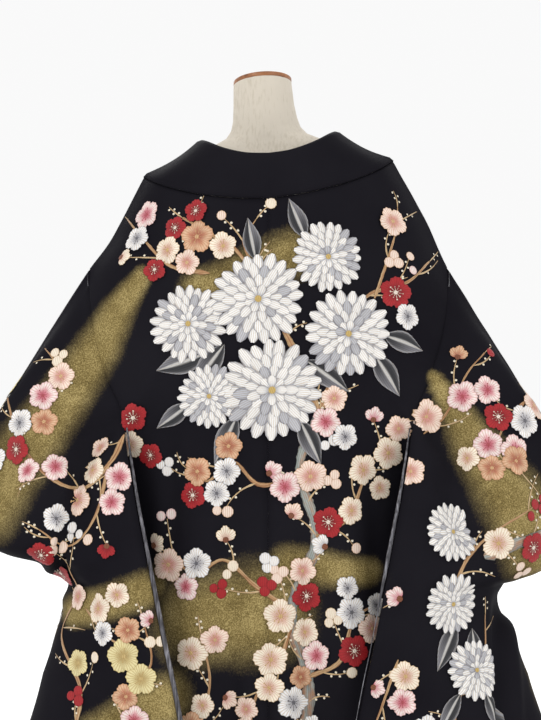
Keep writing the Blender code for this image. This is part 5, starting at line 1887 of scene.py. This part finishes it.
def floor_plane(finish):
    """A wide level floor, outside the part."""
    bpy.ops.mesh.primitive_plane_add(size=60.0, location=(0, 0, 0))
    floor = bpy.context.object
    floor.name = "floor"
    floor.data.materials.append(finish)


def lamp(name, place, target, size, watts):
    """A soft box at one place, turned to another."""
    light = bpy.data.lights.new(name, "AREA")
    light.shape = "RECTANGLE"
    light.size, light.size_y = size
    light.energy = watts
    made = bpy.data.objects.new(name, light)
    bpy.context.scene.collection.objects.link(made)
    made.location = place
    made.rotation_euler = (Vector(target) - Vector(place)).to_track_quat("-Z", "Y").to_euler()


def room():
    """An even pale room with soft boxes all round the garment."""
    world = bpy.data.worlds.new("room")
    bpy.context.scene.world = world
    world.use_nodes = True
    sky = world.node_tree.nodes["Background"]
    sky.inputs["Color"].default_value = (1.0, 1.0, 1.0, 1.0)
    sky.inputs["Strength"].default_value = 0.95
    bpy.context.scene.view_settings.view_transform = "Standard"
    for row in LAMPS:
        lamp(*row)


def camera():
    """A long lens straight behind the garment, level with the middle of its upper part."""
    lens = bpy.data.cameras.new("camera")
    lens.lens = LENS_LENGTH
    lens.sensor_width = FILM_WIDTH
    made = bpy.data.objects.new("camera", lens)
    bpy.context.scene.collection.objects.link(made)
    made.location = CAMERA_PLACE
    made.rotation_euler = (math.radians(90), 0, math.radians(180))
    bpy.context.scene.camera = made


# How full the rolled sleeve edges are, from the armpit down: shares of the length, then fullness.
EDGE_FULLNESS = {
    "left": ((0, 0.10, 0.45, 1), (0.35, 0.55, 0.80, 0.98)),
    "right": ((0, 0.12, 0.30, 0.52, 0.62, 1), (0.20, 0.60, 0.75, 0.50, 0.16, 0.14)),
}


def main():
    """Builds the form and its stand, the garment, its embroidery and the room."""
    silk = black_silk()
    lining = plain_silk()
    rolled = rolled_silk()
    torso(linen())
    neck_cap(turned_wood())
    stand(painted_steel())
    shapes, hems = {}, {}
    for side, word in ((1, "left"), (-1, "right")):
        shapes[side] = body_panel(side, "body_" + word, silk, lining)
        hems[side] = overlap_panel(side, "overlap_" + word, shapes[side], silk, lining)
        edge = sleeve(side, "sleeve_" + word, shapes[side], silk, lining)
        padded_roll("sleeve_edge_" + word + "_roll", "sleeve_edge_" + word, edge, EDGE_RADIUS, rolled,
                    EDGE_FULLNESS[word])
    collar_band(shapes, silk)
    padded_roll("hem_roll_silk", "hem_roll", hem_path(shapes, hems), ROLL_RADIUS, rolled)
    embroider()
    floor_plane(floor_paint())
    room()
    camera()


main()
